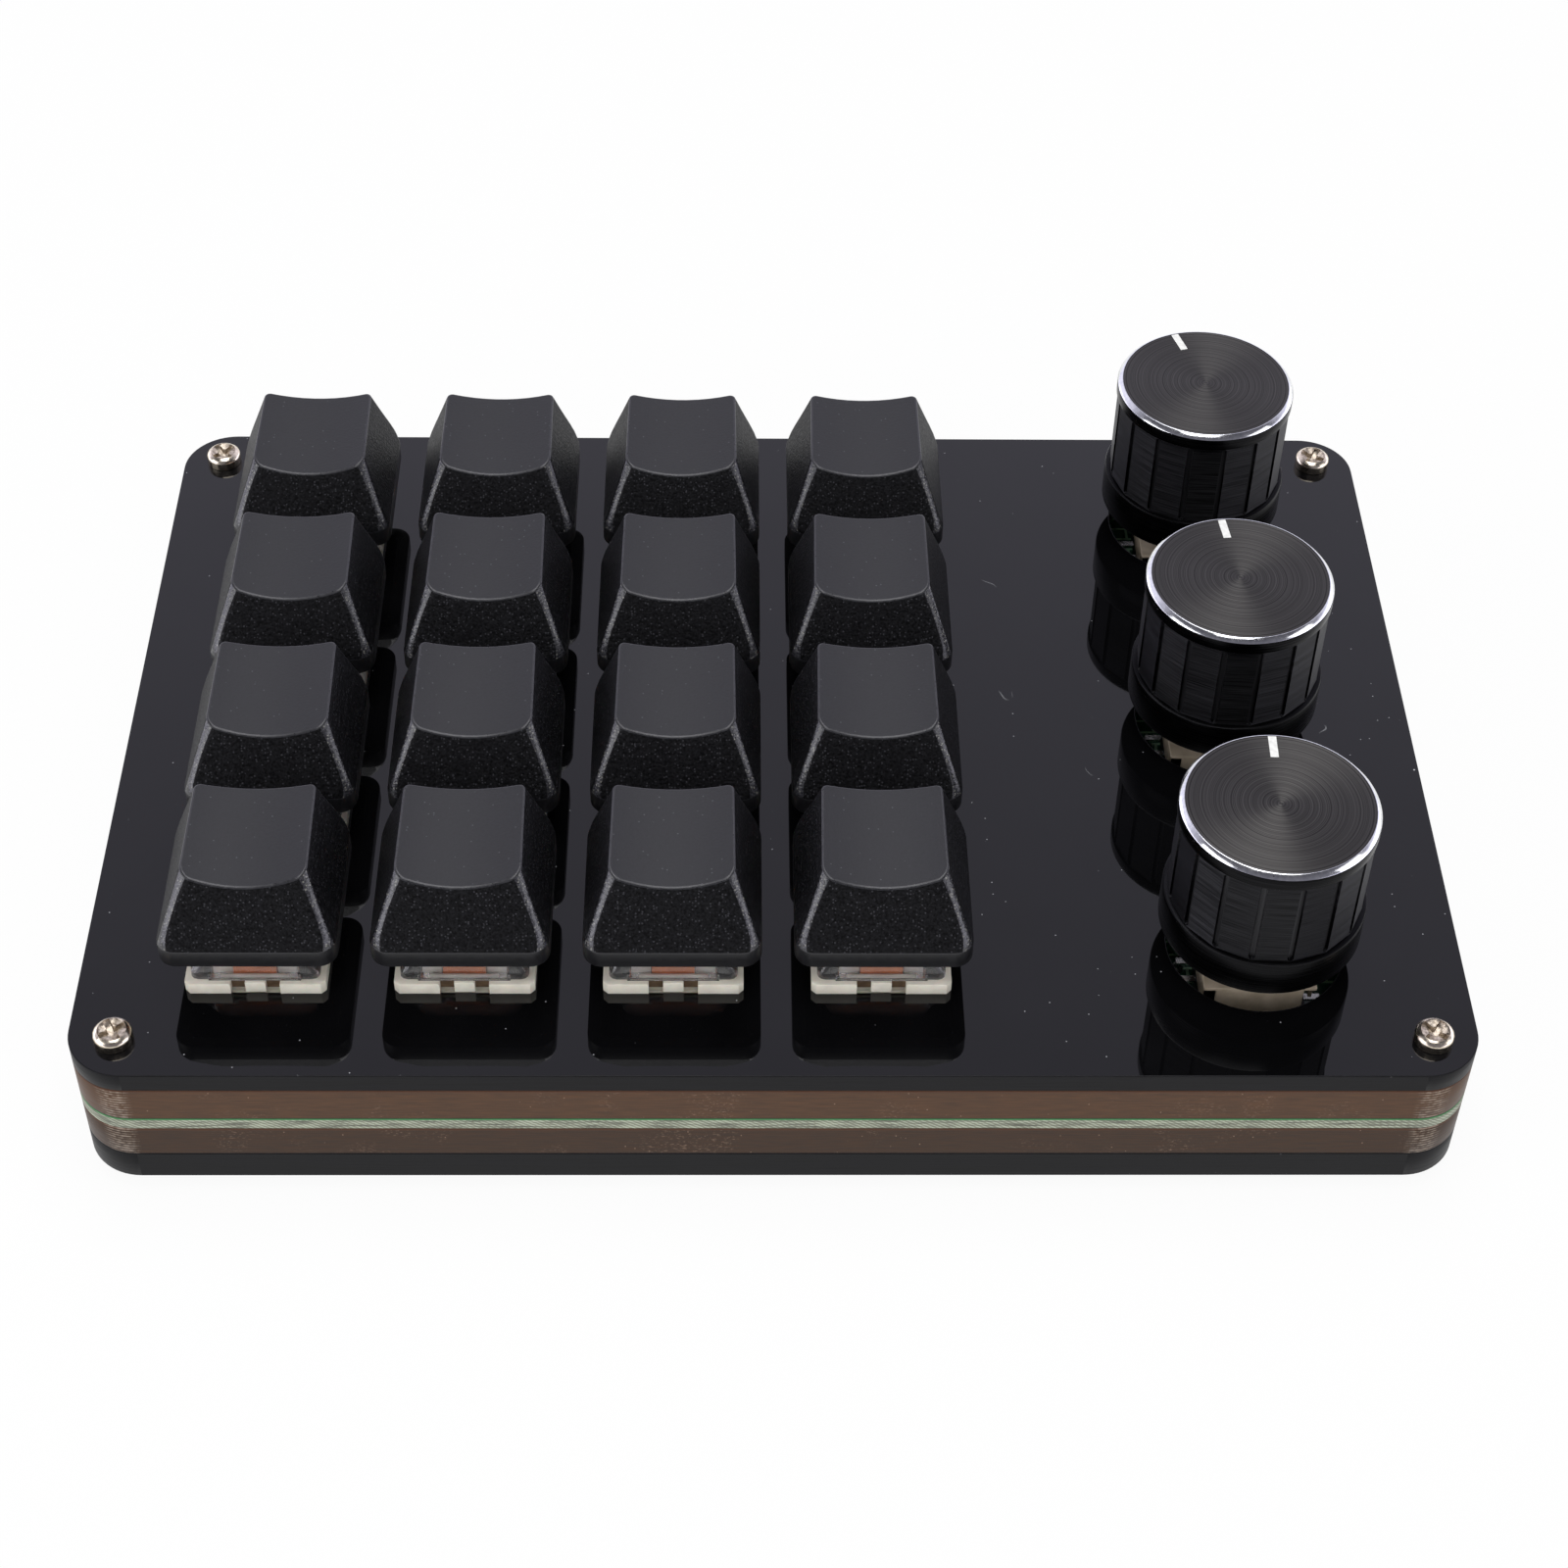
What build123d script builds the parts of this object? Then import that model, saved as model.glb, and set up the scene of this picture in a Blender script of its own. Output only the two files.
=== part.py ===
from build123d import *
import math
import os

# A keypad with sixteen keys and three push-and-turn knobs, built as a screwed sandwich of plates.
# Millimetres. +X runs along the long side towards the knobs, +Y to the back and +Z up.
# The origin is at the middle of the footprint, on the surface that the feet stand on.

# ---- driving dimensions -------------------------------------------------------------------------

# the sandwich
plate_length = 144.2
plate_width = 101.6
corner_radius = 6.0
top_plate_thickness = 2.4
upper_spacer_height = 4.6
board_thickness = 1.6
lower_spacer_height = 4.2
bottom_plate_thickness = 3.8
spacer_wall = 4.5
corner_fill = 5.0
screw_inset = 4.8

# fasteners and feet
screw_diameter = 2.0
screw_hole_clearance = 0.15
screw_head_diameter = 4.1
screw_head_height = 1.5
screw_head_crown = 0.6
screw_point_length = 0.4
nut_across_flats = 4.0
nut_thickness = 1.6
nut_clearance = 0.02
foot_diameter = 9.0
foot_height = 2.6
foot_inset = 14.0

# key layout
key_pitch = 21.5
key_rows = 4
key_columns = 4
key_grid_x = -21.3
key_grid_y = -0.5
key_travel = 4.0

# keycap
cap_base = 18.2
cap_lip = 1.4
cap_gap_over_plate = 6.4
cap_top_width = 12.5
cap_top_depth = 12.9
cap_top_back_shift = 1.35
cap_ridge_cut = 1.15
cap_height = 8.75
cap_rake = 3.4
cap_blank_allowance = 1.0
cap_dish_depth = 0.55
cap_dish_overlap = 0.7
cap_wall = 1.45
cap_roof = 1.6
cap_post_diameter = 5.5
cap_socket_clearance = 0.02
cap_socket_relief = 0.2

# switch
cutout = 14.0
cutout_clearance = 0.05
flange_size = 14.5
flange_height = 1.5
flange_corner = 0.5
flange_notch_width = 5.1
flange_notch_depth = 0.8
flange_tab_width = 2.1
base_depth = 5.0
base_taper = 0.5
base_floor = 1.1
well_width = 10.4
well_depth = 8.4
peg_diameter = 4.0
peg_length = 3.3
stem_pin_diameter = 3.0
stem_pin_clearance = 0.08
stem_pin_reach = 5.3
stem_pin_gap = 0.2
housing_height = 6.6
housing_foot_width = 13.4
housing_foot_depth = 13.2
housing_top_width = 10.4
housing_top_depth = 9.8
housing_chamfer = 1.2
housing_roof = 1.2
stem_block_width = 7.1
stem_block_depth = 5.8
stem_shoulder_width = 9.6
stem_shoulder_depth = 7.4
stem_shoulder_height = 3.6
stem_slide_clearance = 0.1
stem_stop_gap = 0.05
stem_cross_length = 4.0
stem_cross_thickness_x = 1.1
stem_cross_thickness_y = 1.3
stem_cross_height = 3.6
spring_outer_diameter = 5.2
spring_inner_diameter = 4.0
contact_width = 1.0
contact_thickness = 0.3
contact_rise = 1.2
contact_pins = ((-3.81, 2.54), (2.54, 5.08))
contact_hole = 1.3

# knobs and encoders
knob_line_x = 50.5
knob_count = 3
knob_pitch = 34.0
knob_grid_y = 1.1
knob_gap_over_plate = 4.1
knob_height = 17.15
knob_base_diameter = 21.1
knob_top_diameter = 20.4
knob_ring_chamfer = 0.6
knob_upper_band = 1.9
knob_lower_band = 4.4
knob_flutes = 16
knob_flute_width = 0.75
knob_flute_depth = 0.45
knob_facet_depth = 0.2
knob_recess_diameter = 13.0
knob_recess_depth = 4.4
knob_crown = 2.4
knob_fit_clearance = 0.02
knob_push = 0.5
encoder_hole_diameter = 18.6
encoder_width = 11.8
encoder_depth = 12.2
encoder_height = 6.8
encoder_sheet = 0.4
encoder_flap_width = 9.2
encoder_side_flap = 3.2
encoder_lug_width = 2.0
encoder_lug_reach = 2.3
encoder_base_height = 2.0
bushing_wall = 0.45
bushing_height = 6.6
bushing_flange_reach = 1.2
bushing_flange_height = 0.7
shaft_diameter = 6.0
shaft_running_clearance = 0.05
shaft_flat_depth = 1.5
shaft_flat_runout = 0.3
shaft_square = 3.9
shaft_square_clearance = 0.08
rotor_diameter = 9.0
rotor_gap = 0.15
dome_diameter = 4.6
dome_height = 0.7
terminal_pitch = 2.5
terminal_width = 0.8
terminal_thickness = 0.3
terminal_spread = 7.3
terminal_reach = 2.2
terminal_hole_width = 1.0

# electronics
usb_x = 0.0
usb_width = 8.94
usb_depth = 7.35
usb_height = 3.2
usb_corner = 1.2
usb_wall = 0.3
usb_mouth_depth = 6.2
usb_tongue_width = 6.7
usb_tongue_thickness = 0.7
usb_tongue_length = 4.6
usb_slot_clearance = 0.25
chip_size = 7.0
chip_height = 1.2
chip_x = 31.0
chip_y = -8.0

# ---- levels, from the standing surface up -------------------------------------------------------

bottom_plate_z = foot_height
lower_spacer_z = bottom_plate_z + bottom_plate_thickness
board_z = lower_spacer_z + lower_spacer_height
upper_spacer_z = board_z + board_thickness
top_plate_z = upper_spacer_z + upper_spacer_height
deck_z = top_plate_z + top_plate_thickness

board_top = upper_spacer_z
flange_top = deck_z + flange_height
cap_z = deck_z + cap_gap_over_plate
cap_lip_top = cap_z + cap_lip
cap_rim = cap_z + cap_height
base_bottom = deck_z - base_depth
well_floor = base_bottom + base_floor
housing_top = deck_z + housing_height
housing_ceiling = housing_top - housing_roof
shoulder_top = housing_ceiling - stem_stop_gap
shoulder_bottom = shoulder_top - stem_shoulder_height
peg_bottom = base_bottom - peg_length
stem_pin_bottom = shoulder_bottom - stem_pin_reach

encoder_top = board_top + encoder_height
encoder_base_top = board_top + encoder_base_height
bushing_top = encoder_top + bushing_height
knob_z = deck_z + knob_gap_over_plate
knob_top = knob_z + knob_height
shaft_bottom = encoder_base_top + dome_height
shaft_top = knob_top - knob_crown - knob_push
shaft_flat_start = knob_z + knob_recess_depth - shaft_flat_runout
bushing_bore = shaft_diameter + 2 * shaft_running_clearance
bushing_diameter = bushing_bore + 2 * bushing_wall
bushing_flange_diameter = bushing_diameter + 2 * bushing_flange_reach
rotor_top = encoder_top - encoder_sheet - bushing_flange_height - rotor_gap
shaft_round_start = rotor_top + knob_push + rotor_gap


def key_places():
    """(row, column, x, y) of each key: row 1 is at the back, column 1 at the left."""
    for row in range(key_rows):
        for column in range(key_columns):
            x = key_grid_x + (column - (key_columns - 1) / 2) * key_pitch
            y = key_grid_y + ((key_rows - 1) / 2 - row) * key_pitch
            yield row + 1, column + 1, x, y


def knob_places():
    """(number, x, y) of each knob, from the back to the front."""
    for number in range(knob_count):
        y = knob_grid_y + ((knob_count - 1) / 2 - number) * knob_pitch
        yield number + 1, knob_line_x, y


def corners(inset):
    """The four points that lie inset from both edges at each corner of the sandwich."""
    x = plate_length / 2 - inset
    y = plate_width / 2 - inset
    return [(-x, -y), (x, -y), (-x, y), (x, y)]


def slab(sketch, low, high):
    """The sketch as a solid from level low to level high."""
    return extrude(Pos(0, 0, low) * sketch, amount=high - low)


def rod(diameter, low, high, x=0, y=0):
    """A round bar along Z."""
    return Pos(x, y, (low + high) / 2) * Cylinder(diameter / 2, high - low)


def block(width, depth, low, high, x=0, y=0):
    """A rectangular bar along Z."""
    return Pos(x, y, (low + high) / 2) * Box(width, depth, high - low)


def faceted(diameter, sides=8):
    """The section of a small round part or hole inside the product, drawn with flat sides."""
    return RegularPolygon(diameter / 2, sides)


def square(width):
    return Rectangle(width, width)


def tapered_block(base, top, base_z, top_z, top_shift=0):
    """A block with flat sloping sides from a (width, depth) base to a smaller top, above or below it."""
    rise = top_z - base_z
    x = (base[0] - top[0]) / 2
    y = (base[1] - top[1]) / 2 - top_shift
    wedge = Wedge(base[0], abs(rise), base[1], x, y, x + top[0], y + top[1])
    return Pos(0, 0, base_z + rise / 2) * Rot(math.copysign(90, rise), 0, 0) * wedge


def chamfered_rectangle(width, depth, cut):
    """A rectangle with its four corners cut off at 45 degrees."""
    a = width / 2
    b = depth / 2
    right = [(a, -b + cut), (a, b - cut), (a - cut, b)]
    left = [(-a + cut, b), (-a, b - cut), (-a, -b + cut)]
    return make_face(Polyline(*right, *left, (-a + cut, -b), (a - cut, -b), close=True))


def outline():
    return RectangleRounded(plate_length, plate_width, corner_radius)


def save(node, *solids):
    """Write one node: a single solid, or a group of like solids."""
    group = solids[0] if len(solids) == 1 else Compound(children=list(solids))
    export_step(group, f"parts/{node}.step")


# ---- the sandwich -------------------------------------------------------------------------------


def screw_holes():
    hole = faceted(screw_diameter + 2 * screw_hole_clearance)
    return Sketch() + [Pos(x, y) * hole for x, y in corners(screw_inset)]


def top_plate():
    cutouts = [Pos(x, y) * Rectangle(cutout, cutout) for _, _, x, y in key_places()]
    rounds = [Pos(x, y) * Circle(encoder_hole_diameter / 2) for _, x, y in knob_places()]
    return slab(outline() - screw_holes() - cutouts - rounds, top_plate_z, deck_z)


def bottom_plate():
    return slab(outline() - screw_holes(), bottom_plate_z, lower_spacer_z)


def spacer_ring():
    """A frame as wide as the plates, with its corners filled in round the screws."""
    window = chamfered_rectangle(plate_length - 2 * spacer_wall, plate_width - 2 * spacer_wall, corner_fill)
    return outline() - window - screw_holes()


def upper_spacer():
    """The frame over the board, open at the back for the socket."""
    gap = Pos(usb_x, plate_width / 2) * Rectangle(usb_width + 2 * usb_slot_clearance, 2 * spacer_wall + 1)
    return slab(spacer_ring() - gap, upper_spacer_z, top_plate_z)


def lower_spacer():
    return slab(spacer_ring(), lower_spacer_z, board_z)


def terminal_places():
    """Where an encoder's five terminals enter the board, from its own axis."""
    three = [(-terminal_spread, i * terminal_pitch) for i in (-1, 0, 1)]
    two = [(terminal_spread, i * terminal_pitch) for i in (-1, 1)]
    return three + two


def circuit_board():
    peg_hole = faceted(peg_diameter + 2 * cutout_clearance)
    pin_hole = square(contact_hole)
    terminal_hole = square(terminal_hole_width)
    lug_slot = Rectangle(encoder_lug_width + 0.4, encoder_sheet + 0.4)
    lug_y = (encoder_depth - encoder_sheet) / 2
    holes = []
    for _, _, x, y in key_places():
        holes.append(Pos(x, y) * peg_hole)
        holes += [Pos(x + dx, y + dy) * pin_hole for dx, dy in contact_pins]
    for _, x, y in knob_places():
        holes += [Pos(x + dx, y + dy) * terminal_hole for dx, dy in terminal_places()]
        holes += [Pos(x, y + side * lug_y) * lug_slot for side in (-1, 1)]
    return slab(outline() - screw_holes() - holes, board_z, board_top)


# ---- fasteners and feet -------------------------------------------------------------------------


def screw():
    """A pan-head machine screw that runs through the whole stack."""
    head = slab(faceted(screw_head_diameter, 16), deck_z, deck_z + screw_head_height)
    head = chamfer(head.faces().sort_by(Axis.Z)[-1].edges(), screw_head_crown)
    shank_end = bottom_plate_z - nut_thickness - screw_point_length
    return head + slab(faceted(screw_diameter), shank_end, deck_z)


def nut():
    flats_radius = nut_across_flats / math.sqrt(3)
    shape = RegularPolygon(flats_radius, 6) - faceted(screw_diameter + 2 * nut_clearance)
    return slab(shape, bottom_plate_z - nut_thickness, bottom_plate_z)


def foot():
    """A round stick-on rubber bumper."""
    return rod(foot_diameter, 0, foot_height)


# ---- key switch, modelled at its own axis -------------------------------------------------------


def switch_contact(index):
    """A brass blade that stands in the base and goes down through the board."""
    x, y = contact_pins[index]
    return block(contact_width, contact_thickness, peg_bottom, well_floor + contact_rise, x, y)


def switch_base():
    """The lower housing: a flange on the plate, a tapered box below it and a peg in the board."""
    flange = slab(chamfered_rectangle(flange_size, flange_size, flange_corner), deck_z, flange_top)
    notch_y = (flange_size - flange_notch_depth) / 2
    tab_depth = flange_notch_depth / 2
    for side in (-1, 1):
        notch = block(flange_notch_width, flange_notch_depth, deck_z, flange_top, 0, side * notch_y)
        tab_y = side * (flange_size / 2 - flange_notch_depth + tab_depth / 2)
        flange = flange - notch + block(flange_tab_width, tab_depth, deck_z, flange_top, 0, tab_y)
    mouth = cutout - 2 * cutout_clearance
    floor = mouth - 2 * base_taper
    body = tapered_block((mouth, mouth), (floor, floor), deck_z, base_bottom)
    base = flange + body + slab(faceted(peg_diameter), peg_bottom, base_bottom)
    base -= block(well_width, well_depth, well_floor, flange_top)
    bore_bottom = stem_pin_bottom - key_travel - stem_pin_gap
    base -= slab(faceted(stem_pin_diameter + 2 * stem_pin_clearance), bore_bottom, well_floor)
    return base - switch_contact(0) - switch_contact(1)


def switch_top():
    """The clear upper housing: a tapered hood with a square mouth for the stem."""
    foot_print = (housing_foot_width, housing_foot_depth)
    crown = (housing_top_width, housing_top_depth)
    hood = tapered_block(foot_print, crown, flange_top, housing_top)
    ridges = hood.edges().filter_by(lambda edge: abs(edge.tangent_at(0).Z) > 0.5)
    hood = chamfer(ridges, housing_chamfer)
    room_width = stem_shoulder_width + 4 * stem_slide_clearance
    room_depth = stem_shoulder_depth + 4 * stem_slide_clearance
    mouth_width = stem_block_width + 2 * stem_slide_clearance
    mouth_depth = stem_block_depth + 2 * stem_slide_clearance
    hood -= block(room_width, room_depth, flange_top, housing_ceiling)
    return hood - block(mouth_width, mouth_depth, housing_ceiling, housing_top)


def cross(length, thickness_x, thickness_y, low, high):
    """The plus-shaped key that a cap is pushed onto."""
    return block(length, thickness_y, low, high) + block(thickness_x, length, low, high)


def stem():
    """The slider: a cross on top, a shoulder under the roof and a pin in the peg's bore."""
    body = block(stem_block_width, stem_block_depth, shoulder_bottom, cap_z)
    body += block(stem_shoulder_width, stem_shoulder_depth, shoulder_bottom, shoulder_top)
    body += slab(faceted(stem_pin_diameter), stem_pin_bottom, shoulder_bottom)
    top = cap_z + stem_cross_height
    return body + cross(stem_cross_length, stem_cross_thickness_x, stem_cross_thickness_y, cap_z, top)


def spring():
    """The coil's envelope, a six-sided sleeve from the well's floor to the stem's shoulder."""
    ring = faceted(spring_outer_diameter, 6) - faceted(spring_inner_diameter, 6)
    return slab(ring, well_floor, shoulder_bottom)


def cap_slopes(inset, high):
    """The sloping part of the cap up to a level, drawn in by the inset all round."""
    share = (high - cap_lip_top) / (cap_rim - cap_lip_top)
    mouth = cap_base - 2 * inset
    width = mouth - (cap_base - cap_top_width) * share
    depth = mouth - (cap_base - cap_top_depth) * share
    return tapered_block((mouth, mouth), (width, depth), cap_lip_top, high, cap_top_back_shift * share)


def keycap():
    """A raked cap with a dished top, sloped sides and an upright lip, hollow round its post."""
    slopes = cap_slopes(0, cap_rim + cap_blank_allowance)
    ridges = slopes.edges().filter_by(lambda edge: abs(edge.tangent_at(0).Z) > 0.5)
    slopes = chamfer(ridges, cap_ridge_cut)
    lip = extrude(slopes.faces().sort_by(Axis.Z)[0], amount=cap_lip)
    shell = slopes + lip

    tilt = math.radians(cap_rake)
    rim_normal = (0, -math.sin(tilt), math.cos(tilt))
    dish_chord = cap_top_width + cap_dish_overlap
    dish_sagitta = cap_dish_depth * (dish_chord / cap_top_width) ** 2
    dish_radius = ((dish_chord / 2) ** 2 + dish_sagitta**2) / (2 * dish_sagitta)
    rim_plane = Plane(origin=(0, cap_top_back_shift, cap_rim), x_dir=(1, 0, 0), z_dir=rim_normal)
    dish = Pos(0, 0, dish_radius - dish_sagitta) * Rot(90, 0, 0) * Cylinder(dish_radius, 3 * cap_base)
    shell = split(shell, bisect_by=rim_plane, keep=Keep.BOTTOM) - rim_plane * dish

    roof_z = cap_rim - cap_dish_depth - cap_top_depth / 2 * math.tan(tilt) - cap_roof
    mouth = cap_base - 2 * cap_wall
    shell -= block(mouth, mouth, cap_z, cap_lip_top) + cap_slopes(cap_wall, roof_z)

    fit = 2 * cap_socket_clearance
    socket_top = cap_z + stem_cross_height + cap_socket_relief
    socket = cross(
        stem_cross_length + fit, stem_cross_thickness_x + fit, stem_cross_thickness_y + fit, cap_z, socket_top
    )
    return shell + slab(faceted(cap_post_diameter), cap_z, roof_z) - socket


# ---- encoder and knob, modelled at their own axis -----------------------------------------------


def encoder_base():
    """The moulded block under the cover, with the push contact's floor on top."""
    width = encoder_width - 2 * encoder_sheet
    depth = encoder_depth - 2 * encoder_sheet
    return block(width, depth, board_top, encoder_base_top)


def encoder_cover():
    """A folded sheet: a roof with a flap on each side, and a lug through the board front and back."""
    roof_bottom = encoder_top - encoder_sheet
    cover = block(encoder_width, encoder_depth, roof_bottom, encoder_top)
    cover -= slab(faceted(bushing_diameter, 12), roof_bottom, encoder_top)
    flap_y = (encoder_depth - encoder_sheet) / 2
    flap_x = (encoder_width - encoder_sheet) / 2
    lug_end = board_top - encoder_lug_reach
    for side in (-1, 1):
        cover += block(encoder_flap_width, encoder_sheet, board_top, roof_bottom, 0, side * flap_y)
        cover += block(encoder_lug_width, encoder_sheet, lug_end, board_top, 0, side * flap_y)
        flap_low = encoder_top - encoder_side_flap
        cover += block(encoder_sheet, encoder_flap_width, flap_low, roof_bottom, side * flap_x, 0)
    return cover


def encoder_bushing():
    """The collar that guides the shaft, flanged under the cover's roof."""
    roof_bottom = encoder_top - encoder_sheet
    collar = slab(faceted(bushing_diameter, 12), roof_bottom, bushing_top)
    collar += slab(faceted(bushing_flange_diameter), roof_bottom - bushing_flange_height, roof_bottom)
    return collar - rod(bushing_bore, roof_bottom - bushing_flange_height, bushing_top)


def encoder_terminal(x, y):
    """A bent strip from the block's side down through the board."""
    block_side = encoder_width / 2 - encoder_sheet
    out = math.copysign(1, x)
    arm_length = abs(x) - block_side + terminal_thickness / 2
    arm_x = out * (block_side + arm_length / 2)
    arm_low = board_top + encoder_base_height / 2
    arm = block(arm_length, terminal_width, arm_low, arm_low + terminal_thickness, arm_x, y)
    leg = block(terminal_thickness, terminal_width, board_top - terminal_reach, arm_low, x, y)
    return arm + leg


def encoder_dome():
    """The snap dome that the shaft presses."""
    return slab(faceted(dome_diameter), encoder_base_top, encoder_base_top + dome_height)


def rotor():
    """The contact wheel that turns with the shaft and lets it slide."""
    bore = shaft_square + 2 * shaft_square_clearance
    wheel = faceted(rotor_diameter, 16) - square(bore)
    return slab(wheel, encoder_base_top + dome_height + rotor_gap, rotor_top)


def d_section(clearance):
    """The shaft's round section with one flat."""
    radius = shaft_diameter / 2 + clearance
    flat_y = shaft_diameter / 2 - shaft_flat_depth + clearance
    return Circle(radius) - Pos(0, flat_y + radius) * Rectangle(2 * radius, 2 * radius)


def shaft():
    """Square where it drives the rotor, round in the bushing and flatted in the knob."""
    body = block(shaft_square, shaft_square, shaft_bottom, shaft_round_start)
    body += rod(shaft_diameter, shaft_round_start, shaft_flat_start)
    return body + slab(d_section(0), shaft_flat_start, shaft_top)


def knob():
    """A turned knob: two plain bands, a fluted grip with flat facets between and a cut ring on top."""
    grip_low = knob_z + knob_lower_band
    grip_high = knob_top - knob_upper_band
    crown = rod(knob_top_diameter, grip_high, knob_top)
    rim = crown.edges().filter_by(GeomType.CIRCLE).sort_by(Axis.Z)[-1]
    crown = chamfer(rim, knob_ring_chamfer)

    step = 360 / knob_flutes
    flat_radius = knob_top_diameter / 2 - knob_facet_depth
    grip = slab(RegularPolygon(flat_radius, knob_flutes, major_radius=False), grip_low, grip_high)
    flute = block(2 * knob_flute_depth, knob_flute_width, grip_low, grip_high, flat_radius)
    grip -= [Rot(0, 0, (i + 0.5) * step) * flute for i in range(knob_flutes)]

    body = rod(knob_base_diameter, knob_z, grip_low) + grip + crown
    body -= slab(faceted(knob_recess_diameter, 16), knob_z, knob_z + knob_recess_depth)
    bore_top = shaft_top + knob_push
    return body - slab(d_section(knob_fit_clearance), knob_z + knob_recess_depth, bore_top)


# ---- electronics --------------------------------------------------------------------------------


def usb_socket():
    """A flat oval shell, open to the back, with a tongue on its inner wall."""
    mouth_y = plate_width / 2
    inner_y = mouth_y - usb_depth
    centre = Pos(usb_x, inner_y, board_top + usb_height / 2) * Rot(-90, 0, 0)
    shell = extrude(centre * RectangleRounded(usb_width, usb_height, usb_corner), usb_depth)
    mouth = RectangleRounded(usb_width - 2 * usb_wall, usb_height - 2 * usb_wall, usb_corner - usb_wall)
    shell -= extrude(Pos(0, usb_depth - usb_mouth_depth, 0) * (centre * mouth), usb_mouth_depth)
    tongue_y = inner_y + usb_depth - usb_mouth_depth + usb_tongue_length / 2
    low = board_top + (usb_height - usb_tongue_thickness) / 2
    tongue = block(usb_tongue_width, usb_tongue_length, low, low + usb_tongue_thickness, usb_x, tongue_y)
    return shell + tongue


def controller_chip():
    return block(chip_size, chip_size, board_z - chip_height, board_z, chip_x, chip_y)


# ---- write every node ---------------------------------------------------------------------------

os.makedirs("parts", exist_ok=True)

save("top_plate", top_plate())
save("upper_spacer", upper_spacer())
save("circuit_board", circuit_board())
save("lower_spacer", lower_spacer())
save("bottom_plate", bottom_plate())
save("usb_socket", usb_socket())
save("controller_chip", controller_chip())

save("screws", *[Pos(x, y) * screw() for x, y in corners(screw_inset)])
save("nuts", *[Pos(x, y) * nut() for x, y in corners(screw_inset)])
save("feet", *[Pos(x, y) * foot() for x, y in corners(foot_inset)])

keys = [Pos(x, y) for _, _, x, y in key_places()]
save("switch_bases", *[place * switch_base() for place in keys])
save("switch_tops", *[place * switch_top() for place in keys])
save("switch_springs", *[place * spring() for place in keys])
save("switch_contacts", *[place * switch_contact(index) for place in keys for index in (0, 1)])
for row, column, x, y in key_places():
    save(f"stem_{row}_{column}", Pos(x, y) * stem())
    save(f"keycap_{row}_{column}", Pos(x, y) * keycap())

knobs = [Pos(x, y) for _, x, y in knob_places()]
save("encoder_bases", *[place * encoder_base() for place in knobs])
save("encoder_covers", *[place * encoder_cover() for place in knobs])
save("encoder_bushings", *[place * encoder_bushing() for place in knobs])
save("encoder_domes", *[place * encoder_dome() for place in knobs])
save("encoder_terminals", *[place * encoder_terminal(x, y) for place in knobs for x, y in terminal_places()])
for number, x, y in knob_places():
    save(f"rotor_{number}", Pos(x, y) * rotor())
    save(f"shaft_{number}", Pos(x, y) * shaft())
    save(f"knob_{number}", Pos(x, y) * knob())
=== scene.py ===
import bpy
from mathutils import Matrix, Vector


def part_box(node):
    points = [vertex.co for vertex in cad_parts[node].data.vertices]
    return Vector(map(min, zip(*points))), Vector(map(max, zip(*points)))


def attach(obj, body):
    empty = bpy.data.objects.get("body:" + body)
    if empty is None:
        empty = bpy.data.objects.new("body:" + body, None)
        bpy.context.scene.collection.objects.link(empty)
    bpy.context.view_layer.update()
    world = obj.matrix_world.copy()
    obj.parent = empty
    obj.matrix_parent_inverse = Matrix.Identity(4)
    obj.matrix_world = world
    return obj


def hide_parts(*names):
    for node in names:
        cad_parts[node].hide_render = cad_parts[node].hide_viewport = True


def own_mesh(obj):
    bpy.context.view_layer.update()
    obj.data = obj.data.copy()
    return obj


bl_info = {
    "name": "Keypad with Knobs",
    "version": (1, 0, 0),
    "blender": (4, 5, 0),
    "location": "3D Viewport > Sidebar > Keypad",
    "description": "Builds the visible parts of a keypad with three knobs on its CAD frame",
    "category": "Object",
}

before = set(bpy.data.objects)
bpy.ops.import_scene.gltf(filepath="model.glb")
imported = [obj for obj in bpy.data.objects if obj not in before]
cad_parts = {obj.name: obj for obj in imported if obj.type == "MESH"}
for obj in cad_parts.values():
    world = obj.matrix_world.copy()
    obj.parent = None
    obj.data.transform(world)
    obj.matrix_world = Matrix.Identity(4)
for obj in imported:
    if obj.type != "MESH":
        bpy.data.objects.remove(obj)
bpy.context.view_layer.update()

import math
from types import SimpleNamespace

import bmesh
import bpy
from bpy.props import FloatProperty, FloatVectorProperty, PointerProperty
from mathutils import Matrix, Vector

MM = 0.001
KEYS = [(row, column) for row in (1, 2, 3, 4) for column in (1, 2, 3, 4)]
DIALS = (1, 2, 3)
SIDES = (-1, 1)
CIRCLE_HANDLE = 0.5523  # a Bezier handle's length for a quarter circle, as a share of its radius
SQUARE_ON = 0.9995  # a face whose normal keeps to an axis this closely counts as level or upright
NOISE_LOW, NOISE_HIGH = 0.3, 0.7  # a noise texture seldom leaves this range
MIXED_COLOUR = 2  # the output of a Mix node that carries a colour
METAL = {"Metallic": 1.0}


# ---- sizes and colours ---------------------------------------------------------------------------


def level(node, side):
    """The lowest (0) or highest (1) level of a CAD node, in millimetres."""
    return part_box(node)[side].z / MM


def axis_of(node):
    """The upright centre line of a CAD node, in millimetres."""
    low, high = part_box(node)
    return (low.x + high.x) / 2 / MM, (low.y + high.y) / 2 / MM


def linear(text):
    """An sRGB colour such as #c8c4b4 as linear red, green and blue."""
    values = [int(text[i : i + 2], 16) / 255 for i in (1, 3, 5)]
    return [v / 12.92 if v <= 0.04045 else ((v + 0.055) / 1.055) ** 2.4 for v in values]


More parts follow.
